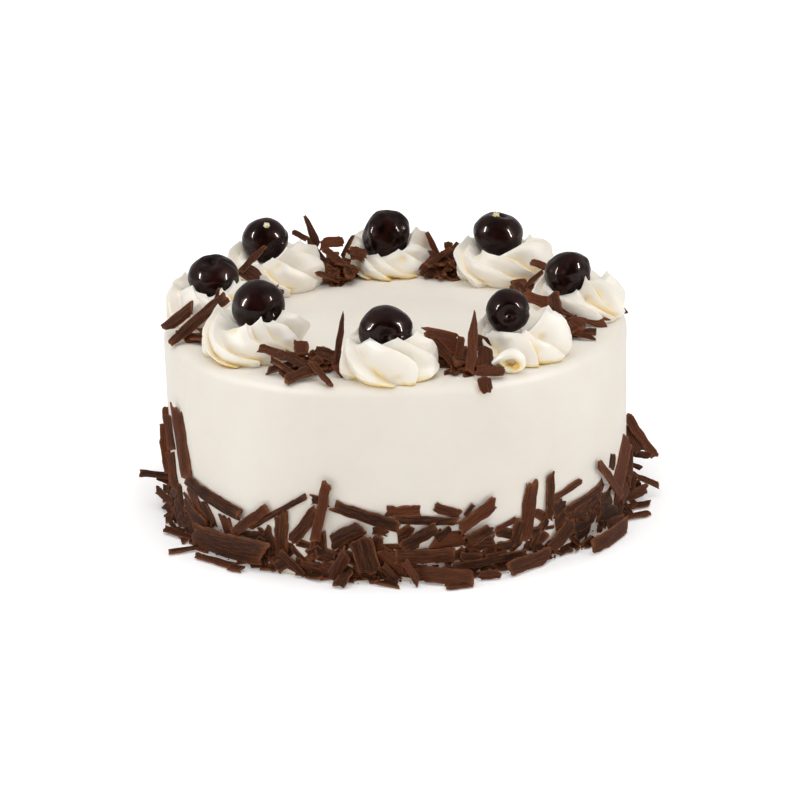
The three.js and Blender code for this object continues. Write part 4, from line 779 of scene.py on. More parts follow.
def cherry_finish():
    """A dark cherry out of its syrup: nearly black, wet and slightly uneven."""
    finish = Finish("cherry_in_syrup")
    place = finish.place()
    mottle = finish.noise(place, scale=180)
    skin = finish.mix(finish.range(mottle, 0.35, 0.7), colour(12, 3, 2), colour(38, 13, 10))
    ripple = finish.bump(finish.noise(place, scale=130, detail=2), strength=0.5, depth_mm=0.5)
    fine = finish.bump(finish.noise(place, scale=700, detail=2, roughness=0.6), strength=0.12, depth_mm=0.06,
                       normal=ripple)
    finish.set(Base_Color=skin, Roughness=finish.range(mottle, 0.3, 0.7, 0.26, 0.36), Normal=fine)
    finish.set(Coat_Weight=0.26, Coat_Roughness=0.02, Specular_IOR_Level=0.06)
    finish.set(Specular_Tint=(1, 0.7, 0.6, 1))
    return finish.material


# The cake body


def frosting():
    """The round body: a cylinder with a soft top edge, smoothed with a spatula but not quite even."""
    cake = new_primitive("frosting", bpy.ops.mesh.primitive_cylinder_add, vertices=FROSTING_SIDES,
                         radius=CAKE_RADIUS * MM, depth=CAKE_HEIGHT * MM,
                         location=(0, 0, CAKE_HEIGHT * MM / 2))
    pick_up(cake)
    bpy.ops.object.transform_apply(location=True, rotation=True, scale=True)
    top = (CAKE_HEIGHT - 0.1) * MM
    bpy.ops.object.mode_set(mode="EDIT")
    select_edges(cake, lambda a, b: a.z > top and b.z > top)
    bpy.ops.mesh.bevel(offset=TOP_EDGE_ROUND * MM, segments=TOP_EDGE_STEPS, affect="EDGES")
    cut_lengthwise(cake, 2, CAKE_HEIGHT * MM / 2, WALL_CUTS + 1)
    for height, end in ((CAKE_HEIGHT, 1), (0, -1)):
        select_faces(cake, lambda middle, normal: normal.z * end > 0.99 and abs(middle.z - height * MM) < 1e-5
                     and middle.xy.length < 1e-3)
        for _ in range(FACE_RINGS):
            bpy.ops.mesh.inset(thickness=FACE_RING * MM)
        bpy.ops.mesh.poke()
    bpy.ops.object.mode_set(mode="OBJECT")
    corners = corner_values(cake, "co") / MM
    x, y, z = corners.T
    on_wall = smoothstep(np.hypot(x, y), CAKE_RADIUS - WALL_DEPTH, CAKE_RADIUS)
    broad = unevenness(x / BROAD_WAVE["across"], y / BROAD_WAVE["across"], z / BROAD_WAVE["up"])
    stroke = unevenness(np.arctan2(x, -y) * SPATULA_STROKE["pace"], z / SPATULA_STROKE["up"],
                        SPATULA_STROKE["start"])
    ripple = unevenness(x / RIPPLE["across"], y / RIPPLE["across"], z / RIPPLE["across"] + RIPPLE["start"])
    lift = BROAD_WAVE["depth"] * broad + RIPPLE["depth"] * ripple + SPATULA_STROKE["depth"] * stroke * on_wall
    lift *= z > FLAT_FOOT
    move_corners(cake, corners + corner_values(cake, "normal") * lift[:, None])
    # Painted golden shade low on the wall, fading out upwards
    keep_values(cake, "gold_tint_and_painted_shade", FOOT_SHADE * (1 - smoothstep(z, 0, FOOT_SHADE_HEIGHT)) * on_wall)
    return cake


# Rosettes


def ridge_line(places, rises):
    """A smooth curve through four places at even rises, read at other rises."""
    first, second, third, fourth = map(float, places)
    ends = np.array((2 * first - second, first, second, third, fourth, 2 * fourth - third))
    part = np.minimum((rises * 3).astype(int), 2)
    return smooth_between(*(ends[part + k] for k in range(4)), rises * 3 - part)


def ridge_lines(ridges, rise, sample, seed):
    """Angle, reach and height of every ridge at each corner's rise, a little wavering. The first ridge
    comes again at the end, one turn on."""
    lines = np.array([[ridge_line(places, rise) for places in ridge[:3]] for ridge in ridges])
    for number in range(len(ridges)):
        wobble = unevenness(WOBBLE_PACE[0] * np.arange(RISE_SAMPLES + 1) / RISE_SAMPLES,
                            WOBBLE_PACE[1] * number, WOBBLE_PACE[2] * seed)
        lines[number, 0] += RIDGE_WOBBLE * wobble[sample]
    return np.concatenate([lines, lines[:1] + np.array([360, 0, 0])[None, :, None]])


def golden_shade(height, rise, depth, crease_distance, patch):
    """The painted golden shade: along the creases, more at the foot, in uneven patches."""
    gold = CREASE_GOLD
    creases = np.maximum(hill(crease_distance, gold["narrow"]),
                         gold["wide_share"] * hill(crease_distance, gold["wide"]))
    creases = (creases * np.clip(depth / gold["full_depth"], 0, 1) * (1 - gold["fade"] * rise)
               * (gold["patchy"][0] + gold["patchy"][1] * patch))
    foot = hill(np.maximum(height, 0), FOOT_GOLD["height"])
    return np.maximum(creases, foot * (FOOT_GOLD["patchy"][0] + FOOT_GOLD["patchy"][1] * patch))


def rosette(row, seed):
    """Piped cream: a grid rolled round, whose columns follow the crisp ridges and the narrow creases that
    each lobe leaves under the one before it."""
    ridges = row["ridges"]
    lobes = len(ridges)
    columns = lobes * len(LOBE_COLUMNS)
    rows = FOOT_ROWS + RISE_SAMPLES + SEAT_ROWS
    rolled = new_primitive("rosette_" + row["place"] + "_piped", bpy.ops.mesh.primitive_grid_add,
                           x_subdivisions=columns, y_subdivisions=rows, size=2)
    corners = corner_values(rolled, "co")
    across = np.rint((corners[:, 0] + 1) / 2 * columns).astype(int) % columns
    level = np.rint((corners[:, 1] + 1) / 2 * rows).astype(int)
    rise = np.clip((level - FOOT_ROWS) / RISE_SAMPLES, 0, 1)
    lobe, step = np.divmod(across, len(LOBE_COLUMNS))

    # Each corner lies between two ridges: down the steep side into the crease, then up the gentle side
    lines = ridge_lines(ridges, rise, np.clip(level - FOOT_ROWS, 0, RISE_SAMPLES), seed)
    corner = np.arange(len(corners))
    first, last = lines[lobe, :, corner], lines[lobe + 1, :, corner]
    crease, strength = np.array([ridge[3:] for ridge in ridges])[lobe].T
    column = np.array(LOBE_COLUMNS)[step]
    share = np.where(column < 0, crease * (1 + column), crease + (1 - crease) * column)
    steep = np.sin(math.pi / 2 * (1 + column))
    gentle = GENTLE_SIDE[0] * (1 - np.abs(column)) ** 2 + GENTLE_SIDE[1] * (1 + np.cos(math.pi * column))
    fall = np.where(column < 0, STEEP_SIDE[0] * steep + STEEP_SIDE[1] * steep ** 2, gentle)
    angle, reach, height = (first + (last - first) * share[:, None]).T
    gap = last[:, 0] - first[:, 0]
    arc = np.radians(gap) * reach
    room = np.clip(arc / FULL_LOBE, *LOBE_ROOM)
    swell = np.sin(math.pi * (CREASE_SWELL[0] + CREASE_SWELL[1] * rise))
    at_foot = FOOT_CREASE * hill(rise, FOOT_CREASE_RISE)
    depth = strength * room * (CREASE_DEPTH[0] + CREASE_DEPTH[1] * swell + at_foot)

    # How far each corner stands out: the lip and the fine second ridge, the round lobe, less the crease
    ridge_distance = np.minimum(share, 1 - share) * arc
    tears = unevenness(rise * RIDGE_LIP["pace"], lobe * RIDGE_LIP["step"] + seed, share)
    lip = RIDGE_LIP["out"] * hill(ridge_distance, RIDGE_LIP["width"]) * (1 + RIDGE_LIP["torn"] * tears)
    bulge = (LOBE_BULGE * room * np.sin(math.pi * np.clip(column, 0, 1))
             * np.sin(math.pi * (BULGE_SWELL[0] + BULGE_SWELL[1] * rise)))
    past_crease = (share - crease) / (1 - crease)
    fine = FINE_RIDGE["out"] * hill((past_crease - FINE_RIDGE["share"]) * arc, FINE_RIDGE["width"])
    out = lip + bulge + fine * np.sin(math.pi * rise) - depth * fall
    slope = np.radians(LOBE_SLOPE[0] + LOBE_SLOPE[1] * rise)
    angle = angle - fall * np.minimum(CREASE_LEAN["share"] * gap, CREASE_LEAN["most"])
    reach = reach + out * np.cos(slope)
    height = height + out * np.sin(slope)

    # The crown's teeth: notched between the ridges, pointed on some of them
    notch = (1 - np.abs(2 * share - 1)) ** TOOTH_SHARPNESS
    height = height - TOOTH_DROP * smoothstep(rise, TOOTH_RISE, 1) * notch * room
    nearest = np.where(share < 0.5, lobe, lobe + 1)
    tip = np.maximum(0, np.sin(TOOTH_POINT["step"] * nearest % lobes + seed))
    height = height + (TOOTH_POINT["up"] * smoothstep(rise, TOOTH_POINT["rise"], 1)
                       * hill(ridge_distance, TOOTH_POINT["width"]) * tip)
    # Painted golden shade in the creases and at the foot
    patch = unevenness(rise * PATCH_PACE[0], lobe * PATCH_PACE[1] + seed, PATCH_PACE[2])
    golden = golden_shade(height, rise, depth, np.abs(share - crease) * arc, patch)
    # Pockets: small hollows, each with painted golden shade in it
    for pocket_angle, pocket_height in row.get("pockets", ()):
        sideways = np.radians((angle - pocket_angle + 180) % 360 - 180) * reach
        near = np.hypot(sideways, height - pocket_height)
        reach = reach - POCKET_DEPTH * hill(near, POCKET_RADIUS)
        golden = np.maximum(golden, POCKET_GOLD["share"] * hill(near, POCKET_GOLD["radius"]))

    # The foot is tucked in under the cream, and the crown runs in to the seat below the cherry
    raised = np.maximum(height, LOWEST_CREAM)
    under = np.clip((FOOT_ROWS - level) / FOOT_ROWS, 0, 1)
    height = np.where(level <= FOOT_ROWS, raised * (1 - under) - FOOT_SINK * under, raised)
    tucked = reach * (1 - FOOT_TUCK["share"] * under ** FOOT_TUCK["power"]) - FOOT_TUCK["back"]
    reach = np.where(level < FOOT_ROWS, tucked, reach)
    inward = np.clip((level - FOOT_ROWS - RISE_SAMPLES) / SEAT_ROWS, 0, 1)
    height = height * (1 - inward) + 0.5 * ROSETTE_HEIGHT * inward - SEAT_SAG * np.sin(math.pi * inward)
    reach = reach * (1 - inward)
    turned = np.radians(angle)
    foot = at(row["azimuth"], row["distance"], CAKE_HEIGHT)
    points = foot + np.stack([reach * np.cos(turned), reach * np.sin(turned), height], 1)
    wave = sum(size * unevenness(*(points / across).T) for size, across in CREAM_WAVES)
    away = points - foot - WAVE_CENTRE
    away /= np.linalg.norm(away, axis=1)[:, None]
    points = points + away * (wave * (level > 0))[:, None]
    middle = cherry_middle(row)
    away = points - middle
    distance = np.maximum(np.linalg.norm(away, axis=1), 1e-6)
    seat = row["cherry"]["radius"] + CHERRY_CLEARANCE
    points = np.where((distance < seat)[:, None], middle + away / distance[:, None] * seat, points)
    move_corners(rolled, points)
    # Stores the painted golden shade, none on the seat under the cherry
    keep_values(rolled, "gold_tint_and_painted_shade", np.clip(golden * (1 - inward), 0, 1))
    close_the_roll(rolled)
    return rolled


def close_the_roll(rolled):
    """Joins the two sides of the rolled grid, closes the foot and turns the faces outwards."""
    pick_up(rolled)
    bpy.ops.object.mode_set(mode="EDIT")
    bpy.ops.mesh.select_all(action="SELECT")
    bpy.ops.mesh.remove_doubles(threshold=1e-6)
    bpy.ops.mesh.select_all(action="DESELECT")
    bpy.ops.mesh.select_mode(type="VERT")
    bpy.ops.mesh.select_non_manifold()
    bpy.ops.mesh.edge_face_add()
    bpy.ops.mesh.select_all(action="SELECT")
    bpy.ops.mesh.normals_make_consistent(inside=False)
    bpy.ops.object.mode_set(mode="OBJECT")


def piped_tail():
    """The curled end that the nozzle left beside the front right rosette: a tapered roll, bent to a loop."""
    roll = new_primitive("rosette_front_right_tail", bpy.ops.mesh.primitive_cylinder_add, vertices=TAIL_SIDES,
                         radius=1, depth=1)
    bpy.ops.object.mode_set(mode="EDIT")
    cut_lengthwise(roll, 2, 0.9, TAIL_RINGS)
    bpy.ops.object.mode_set(mode="OBJECT")
    corners = corner_values(roll, "co")
    rise = np.clip(corners[:, 2] + 0.5, 0, 1) * (len(TAIL) - 1)
    part = np.minimum(rise.astype(int), len(TAIL) - 2)
    padded = np.array([TAIL[0], *TAIL, TAIL[-1]], float)
    share = (rise - part)[:, None]
    before, start, end, after = (padded[part + k] for k in range(4))
    across, up, thickness = smooth_between(before, start, end, after, share).T
    heading = 0.5 * ((end - before) * (1 - share) + (after - start) * share)[:, :2]
    heading /= np.maximum(np.linalg.norm(heading, axis=1), 1e-6)[:, None]
    fluted = 1 + TAIL_FLUTES["depth"] * np.abs(np.sin(TAIL_FLUTES["count"]
                                                      * np.arctan2(corners[:, 1], corners[:, 0])))
    thickness = np.maximum(thickness, TAIL_LEAST) * fluted
    x = across - heading[:, 1] * corners[:, 0] * thickness
    z = up + heading[:, 0] * corners[:, 0] * thickness
    points = np.stack([x, TAIL_FRONT - corners[:, 1] * thickness * TAIL_DEPTH, CAKE_HEIGHT + z], 1)
    points[:, 2] = np.maximum(points[:, 2], CAKE_HEIGHT + TAIL_SEAT)
    # Painted golden shade, slight all over and strongest inside the curl
    middle = np.array(TAIL)[TAIL_CURL_START:, :2].mean(0)
    inside = hill(np.hypot(x - middle[0], z - middle[1]), TAIL_GOLD["reach"])
    move_corners(roll, points)
    keep_values(roll, "gold_tint_and_painted_shade", np.clip(TAIL_GOLD["base"] + TAIL_GOLD["inside"] * inside, 0, 1))
    return roll


# Cherries


def fleck(row, way):
    """A pale bit of cream left on a cherry, in the direction given from the cherry's middle."""
    spot = row["cherry"]
    bit = new_primitive("cherry_" + row["place"] + "_fleck", bpy.ops.mesh.primitive_ico_sphere_add,
                        subdivisions=3, radius=1)
    corners = corner_values(bit, "co")
    bumps = unevenness(*(corners * FLECK_LUMPS["pace"] + way).T)
    corners *= (1 + FLECK_LUMPS["depth"] * bumps)[:, None] * np.array(FLECK_SIZE)
    move_corners(bit, corners + cherry_middle(row) + unit(np.array(way)) * spot["radius"] * spot["stretch"])
    keep_values(bit, "gold_tint_and_painted_shade", np.clip(FLECK_LUMPS["gold"] + bumps, 0, 1))
    return bit


def cherry(row):
    """A cherry turned on the axis of its pitted dimple, lumpy, with its suture."""
    spot = row["cherry"]
    ball = new_primitive("cherry_" + row["place"] + "_glossy", bpy.ops.mesh.primitive_uv_sphere_add,
                         segments=CHERRY_SIDES, ring_count=CHERRY_RINGS, radius=1)
    shape = corner_values(ball, "co")
    x, y, z = shape.T
    polar = np.arccos(np.clip(z, -1, 1))
    around = np.arctan2(y, x)
    seed = row["azimuth"]
    small = SMALL_LUMPS["pace"]
    lumps = (unevenness(x * LUMP_PACE + seed, y * LUMP_PACE, z * LUMP_PACE)
             + SMALL_LUMPS["share"] * unevenness(x * small + seed, y * small, z * small))
    size = spot["radius"] * (1 - CHERRY_SHRINK + spot.get("lumpy", CHERRY_LUMPS) * lumps)
    pit = sum(depth * (1 - smoothstep(polar, inner, outer)) for depth, inner, outer in DIMPLE)
    rim = (DIMPLE_RIM["up"] * hill(polar - DIMPLE_RIM["angle"], DIMPLE_RIM["width"])
           * (1 + DIMPLE_RIM["uneven"] * np.sin(3 * around + seed)))
    dent = BASE_DENT[0] * (1 - smoothstep(math.pi - polar, *BASE_DENT[1:]))
    suture = (SUTURE["depth"] * hill(around, SUTURE["width"])
              * smoothstep(polar, SUTURE["start"], SUTURE["full"]))
    body = shape * (size - suture)[:, None]
    body[:, 2] *= spot["stretch"]
    body[:, 2] += dent - pit + rim
    tilt = math.radians(spot["tilt"])
    axis = Vector(at(spot["facing"], math.cos(tilt), math.sin(tilt)))
    turned = body @ np.array(Vector((0, 0, 1)).rotation_difference(axis).to_matrix()).T
    turned[:, 2] *= spot["squat"]
    move_corners(ball, turned + cherry_middle(row))
    return ball


# Chocolate


def plank_master(lengthwise, crosswise):
    """A unit plank, cut into strips that crowd at its edges, for copies."""
    plank = new_primitive("plank", bpy.ops.mesh.primitive_cube_add, size=1)
    bpy.ops.object.mode_set(mode="EDIT")
    cut_lengthwise(plank, 0, 0.9, lengthwise)
    cut_lengthwise(plank, 1, 0.9, crosswise)
    bpy.ops.object.mode_set(mode="OBJECT")
    corners, faces = as_pattern(plank)
    corners[:, :2] = np.sign(corners[:, :2]) * 0.5 * np.abs(2 * corners[:, :2]) ** EDGE_CROWDING
    return corners, faces


def crumb_master():
    """A small broken bit, made from a coarse ball."""
    return as_pattern(new_primitive("crumb", bpy.ops.mesh.primitive_ico_sphere_add, subdivisions=1, radius=1))


class Chocolate:
    """Flakes and crumbs that are copied from a few masters and then joined as one piece."""

    def __init__(self):
        self.corners, self.faces, self.tone, self.grain, self.rim = [], [], [], [], []
        self.count = 0

    def add(self, corners, faces, tone, grain, rim):
        self.corners.append(corners)
        self.faces += [tuple(corner + self.count for corner in face) for face in faces]
        self.tone.append(np.full(len(corners), tone))
        self.grain.append(grain)
        self.rim.append(rim)
        self.count += len(corners)

    def joined(self, name):
        data = bpy.data.meshes.new(name)
        data.from_pydata((np.concatenate(self.corners) * MM).tolist(), [], self.faces)
        piece = bpy.data.objects.new(name, data)
        bpy.context.scene.collection.objects.link(piece)
        keep_values(piece, "tone", np.concatenate(self.tone))
        keep_values(piece, "grain", np.concatenate(self.grain))
        keep_values(piece, "rim", np.concatenate(self.rim))
        return piece


def kept_inside(corners):
    """Moves a bit of chocolate as a whole, so that it doesn't reach past the outermost shavings."""
    short = np.maximum(0, ROOM_LOW + EDGE_MARGIN - corners.min(0))
    over = np.maximum(0, corners.max(0) - ROOM_HIGH + EDGE_MARGIN)
    return corners + (short - over) * (1, 1, 0)


def flake(heap, master, start, end, width, face, draw, bow=0, taper=(0, 0), thickness=None, curl=None,
          floor=True, tone=None):
    """One shaving from start to end: torn ends, wavy sides, bowed along, curled across, a little twisted."""
    unit_corners, faces = master
    u, v, w = unit_corners.T
    along = end - start
    length = np.linalg.norm(along)
    along = along / length
    normal = unit(face - along * face.dot(along))
    across = np.cross(normal, along)
    skew = drawn(SKEW, draw)
    jag = min(JAG["width"] * width, JAG["most"], JAG["length"] * length) * drawn(JAG["drawn"], draw)
    phase = PHASE * draw()
    if thickness is None:
        thickness = drawn(THICKNESS, draw)
    if curl is None:
        curl = drawn(CURL, draw)
    twist = math.radians(drawn(TWIST, draw)) * min(1, TWIST_LENGTH / length)

    # Along: the ends are cut askew, come to a blunt point and are torn in teeth
    teeth = sum(size * unevenness(v * pace * width, SIDES_APART[0] * np.sign(u), phase + shift)
                for size, pace, shift in END_TEETH)
    at_end = np.clip((np.abs(u) - END_START) / END_SPAN, 0, 1) ** 2
    cuts = [drawn(SIDE_CUT, draw) * width for _ in range(2)]
    points = [END_POINT["width"] * width * max(0, draw() - END_POINT["below"]) for _ in range(2)]
    cut, point = np.where(u > 0, cuts[1], cuts[0]), np.where(u > 0, points[1], points[0])
    shaped = cut * v - point * np.abs(2 * v) ** END_POINT["power"]
    x = u * length + np.sign(u) * at_end * ((teeth - TEETH_BACK) * TEETH_DEPTH * jag + shaped)

    # Across: the sides waver and may taper, and the edges are thin
    wave = sum(size * unevenness(u * length / reach, SIDES_APART[1] * np.sign(v), phase + shift)
               for size, reach, shift in SIDE_WAVE["rows"])
    tapers = [1 - taper[k] * np.clip(way * 2 * u, 0, 1) ** TAPER_POWER for k, way in enumerate((-1, 1))]
    y = (v * width * (tapers[0] * tapers[1])
         * (1 + SIDE_WAVE["depth"] * wave * min(1, SIDE_WAVE["full_width"] / width)))
    lift = w * thickness * (1 - THIN_EDGE["share"] * np.abs(2 * v) ** THIN_EDGE["power"])
    if abs(curl) > LEAST_CURL:
        radius = width / curl
        bend = y / radius
        y, lift = (radius + lift) * np.sin(bend), (radius + lift) * np.cos(bend) - radius
        lift += CURL_LIFT * width * abs(curl) * np.sign(curl)
    turned = twist * 2 * u
    y, lift = y * np.cos(turned) - lift * np.sin(turned), y * np.sin(turned) + lift * np.cos(turned)
    warp = WARP["depth"] * unevenness(u * length / WARP["reach"], v * width / WARP["reach"], phase)
    lift = lift + bow * (1 - (2 * u) ** 2) + warp
    corners = ((start + end) / 2 + np.outer(x + 2 * u * skew * y, along) + np.outer(y, across)
               + np.outer(lift, normal))
    if floor:
        corners[:, 2] += max(0, FLOOR_CLEARANCE - corners[:, 2].min())
    corners = kept_inside(corners)
    grain = np.stack([u * length + phase * GRAIN_START[0], v * width,
                      np.full(len(u), phase * GRAIN_START[1])], 1)
    # Where the painted edge highlight goes: the ends and the sides
    rim = np.maximum(np.abs(2 * u) ** EDGE_HIGHLIGHT_POWER[0], np.abs(2 * v) ** EDGE_HIGHLIGHT_POWER[1])
    if tone is None:
        tone = drawn(DRAWN_TONE, draw)
    heap.add(corners, faces, tone, grain, rim)


def wall_flake(heap, master, row, draw, **options):
    """A shaving that leans on the wall, bowed with it. One that sticks out or lies on the ground shows its
    broad side upwards instead."""
    azimuth0, height0, off0, azimuth1, height1, off1, width = row
    seat = CAKE_RADIUS - SHAVING_SEAT + SHAVING_THICKNESS / 2
    start, end = at(azimuth0, seat + off0, height0), at(azimuth1, seat + off1, height1)
    outward = at((azimuth0 + azimuth1) / 2, 1, 0)
    along = end - start
    sticks_out = abs(along.dot(outward)) / np.linalg.norm(along)
    on_ground = max(height0, height1) < GROUND_HEIGHT
    face = outward * (1 - sticks_out) + np.array([0, 0, sticks_out + GROUND_FACING * on_ground])
    beside = SIDE_FACING * smoothstep(min(abs(azimuth0), abs(azimuth1)), *SIDE_AZIMUTHS) * (1 - on_ground)
    if abs(azimuth0) < SIDE_LAST:
        face = unit(face) * (1 - beside) + SIDE_DIRECTION * beside
    half_turn = math.radians(azimuth1 - azimuth0) / 2
    bow = 0 if on_ground else seat * (1 - math.cos(half_turn))
    flake(heap, master, start, end, width, face, draw, bow=bow, **options)


def half_spans(length, slant):
    """Half of what a shaving on the wall spans at a slant: in azimuth, and in height."""
    return (math.degrees(length * math.cos(slant) / CAKE_RADIUS) / 2, length * math.sin(slant) / 2)


def back_shavings(draw):
    """The back carries shavings by a rule: evenly spread, with drawn heights, lengths and slants. Of every
    four, one lies on the ground and points outwards, two lie along the wall and one stands up against it."""
    rows = []
    for i in range(BACK_SHAVINGS):
        azimuth = BACK_AZIMUTH[0] + (i + draw()) * (BACK_AZIMUTH[1] / BACK_SHAVINGS)
        level = i % BACK_LEVELS
        length = drawn(BACK_LENGTH, draw)
        slant = drawn(STANDING_SLANT if level == BACK_LEVELS - 1 else LEANING_SLANT, draw)
        turn, rise = half_spans(length, math.radians(slant))
        width = drawn(BACK_WIDTH, draw)
        height = max(drawn(BACK_HEIGHT, draw) + LEVEL_STEP * (level - 1), abs(rise) + width / 2)
        off = BACK_OFF * draw()
        if level == 0:
            rows.append([azimuth + drawn(LYING["turn"], draw), LYING["height"], LYING["inner"], azimuth,
                         LYING["height"], drawn(LYING["outer"], draw), width])
        else:
            rows.append([azimuth - turn, height - rise, off, azimuth + turn, height + rise,
                         off + BACK_TILT * draw(), width])
    return rows


def fill_flake(band, chips, azimuth, draw):
    """A short flake between the long ones, against the wall. Fewer lie high where the photo shows cream."""
    stays_low = FILL_LOW_AZIMUTHS[0] < azimuth < FILL_LOW_AZIMUTHS[1]
    low = drawn(FILL_LOW_HEIGHT if stays_low else FILL_HEIGHT, draw)
    length = drawn(FILL_SIZE["length"], draw)
    slant = drawn(FILL_SIZE["slant"], draw)
    slant += FILL_CROSSWISE["turn"] if draw() < FILL_CROSSWISE["share"] else 0
    turn, rise = half_spans(length, math.radians(slant))
    width = drawn(FILL_SIZE["width"], draw)
    low = max(low, abs(rise) + width / 2)
    off = drawn(FILL_SIZE["off"], draw)
    # Its dark tone is painted shade in the gaps between the long shavings
    wall_flake(band, chips, [azimuth - turn, low - rise, off, azimuth + turn, low + rise, off, width],
               draw, tone=FILL_SIZE["tone"] * draw())


def ground_flake(band, chips, azimuth, draw):
    """A narrow flake that lies on the ground, close to the cake where the photo shows none further out."""
    size = GROUND_SIZE
    reach = GROUND_REACH[0] + GROUND_REACH[1] * abs(math.sin(math.radians(azimuth)))
    near = GROUND_NEAR["azimuths"][0] < azimuth < GROUND_NEAR["azimuths"][1]
    off = size["off"] + reach * draw() * (GROUND_NEAR["share"] if near else 1)
    turn = drawn(size["turn"], draw)
    lean = drawn(size["lean"], draw)
    wall_flake(band, chips, [azimuth - turn, drawn(size["low"], draw), off - lean, azimuth + turn,
                             drawn(size["high"], draw), off + lean, drawn(size["width"], draw)],
               draw, tone=size["tone"] * draw())


def front_chip(band, chips, azimuth, draw):
    """A chip low on the wall at the very front, where the chocolate is thickest."""
    size = FRONT_SIZE
    low = drawn(size["low"], draw)
    turn = drawn(size["turn"], draw)
    lean = drawn(size["lean"], draw)
    low = max(low, abs(lean) + size["low"][0])
    wall_flake(band, chips, [azimuth - turn, low - lean, size["off"][0], azimuth + turn, low + lean,
                             size["off"][1], drawn(size["width"], draw)], draw, tone=size["tone"] * draw())


def foot_chocolate(planks, chips, bits):
    """The band round the foot: the long shavings, shorter flakes between them, and crumbs."""
    band = Chocolate()
    draw = seeded_draw(FOOT_SEED)
    for row in FOOT_SHAVINGS + back_shavings(seeded_draw(BACK_SEED)):
        wall_flake(band, planks, row, draw, curl=CURLED_CURL if row[:2] == CURLED_SHAVING else None)
    for row in FOOT_FLAKES:
        wall_flake(band, chips, row, draw)
    for add, count, start, turn in ((fill_flake, FILL_FLAKES, -180, 360),
                                    (ground_flake, GROUND_FLAKES, -180, 360),
                                    (front_chip, FRONT_CHIPS, *FRONT_SIZE["azimuth"])):
        for i in range(count):
            add(band, chips, start + turn * (i + draw()) / count, draw)
    for _ in range(CRUMBS):
        azimuth = 360 * draw() - 180
        low = drawn(CRUMB_HEIGHT, draw)
        off = drawn(CRUMB_OFF_ON_GROUND if low < CRUMB_ON_GROUND else CRUMB_OFF_ON_WALL, draw)
        size = drawn(CRUMB_SIZE, draw)
        crumb(band, at(azimuth, CAKE_RADIUS + off, size * CRUMB_SEAT + low), size, draw, bits)
    return band.joined("foot_shavings")


def crumb(heap, middle, size, draw, bits):
    """A broken bit, drawn out and turned at random, that stays above the ground."""
    corners, faces = bits
    stretch = np.array([drawn(side, draw) for side in CRUMB_STRETCH])
    turn = Matrix.Rotation(FULL_TURN * draw(), 3, "Z") @ Matrix.Rotation(CRUMB_TILT * draw(), 3, "X")
    moved = (corners * stretch * size) @ np.array(turn).T + middle
    moved[:, 2] += max(0, CRUMB_CLEARANCE - moved[:, 2].min())
    heap.add(kept_inside(moved), faces, draw(), corners * size + CRUMB_GRAIN * draw(),
             np.full(len(corners), CRUMB_HIGHLIGHT))


def heap_chocolate(row, seed, planks, chips, bits):
    """A heap between two rosettes: the shards that show, small chips under them, and crumbs."""
    heap = Chocolate()
    draw = seeded_draw(seed + HEAP_SEED)
    for azimuth0, distance0, height0, azimuth1, distance1, height1, width, *taper in row["shards"]:
        start = at(azimuth0, distance0, CAKE_HEIGHT + height0)
        end = at(azimuth1, distance1, CAKE_HEIGHT + height1)
        flake(heap, planks, start, end, width, np.array([0, -1, 1.0]), draw, bow=SHARD_BOW, taper=taper,
              thickness=drawn(SHARD_THICKNESS, draw), floor=False, tone=drawn(SHARD_TONE, draw))
    for _ in range(row["chips"]):
        azimuth = row["azimuth"] + drawn(CHIP_AZIMUTH, draw)
        distance = row["distance"] + drawn(CHIP_DISTANCE, draw)
        reach = drawn(CHIP_REACH, draw)
        turn = FULL_TURN * draw()
        middle = at(azimuth, distance, CAKE_HEIGHT + CHIP_LIFT + row["chips"] / CHIPS_TO_LIFT * draw())
        offset = np.array([math.cos(turn), math.sin(turn), drawn(CHIP_SLOPE, draw)]) * reach
        flake(heap, chips, middle - offset, middle + offset, drawn(CHIP_WIDTH, draw),
              np.array([*(drawn(side, draw) for side in CHIP_FACE), 1.0]), draw, floor=False,
              tone=CHIP_TONE * draw())
    for _ in range(HEAP_CRUMBS):
        azimuth = row["azimuth"] + drawn(HEAP_CRUMB_AZIMUTH, draw)
        distance = row["distance"] + drawn(HEAP_CRUMB_DISTANCE, draw)
        size = drawn(HEAP_CRUMB_SIZE, draw)
        crumb(heap, at(azimuth, distance, CAKE_HEIGHT + HEAP_CRUMB_SEAT * size), size, draw, bits)
    return heap.joined(row["name"] + "_shards")


# Studio


def photo_camera():
    data = bpy.data.cameras.new("camera")
    data.lens = CAMERA_LENS
    data.sensor_width = SENSOR_WIDTH
    camera = bpy.data.objects.new("camera", data)
    bpy.context.scene.collection.objects.link(camera)
    elevation = math.radians(CAMERA_ELEVATION)
    roll = math.radians(CAMERA_ROLL)
    back = Vector((0, -math.cos(elevation), math.sin(elevation)))
    right = Vector((1, 0, 0))
    up = back.cross(right)
    axes = Matrix((right * math.cos(roll) + up * math.sin(roll),
                   up * math.cos(roll) - right * math.sin(roll), back)).transposed()
    place = (Vector(CAMERA_TARGET) + back * CAMERA_DISTANCE) * MM
    camera.matrix_world = Matrix.Translation(place) @ axes.to_4x4()
    bpy.context.scene.camera = camera


def softbox(name, azimuth, elevation, distance, width, height, power, lights_cream):
    """A rectangular light that faces the cake."""
    data = bpy.data.lights.new(name, "AREA")
    data.shape = "RECTANGLE"
    data.size, data.size_y = width, height
    data.energy = power
    lamp = bpy.data.objects.new(name, data)
    bpy.context.scene.collection.objects.link(lamp)
    lift = math.radians(elevation)
    away = Vector(at(azimuth, math.cos(lift), math.sin(lift)))
    lamp.location = Vector(LAMP_AIM) + away * distance
    lamp.rotation_euler = away.to_track_quat("Z", "Y").to_euler()
    lamp.visible_diffuse = lights_cream
    lamp.visible_glossy = not lights_cream


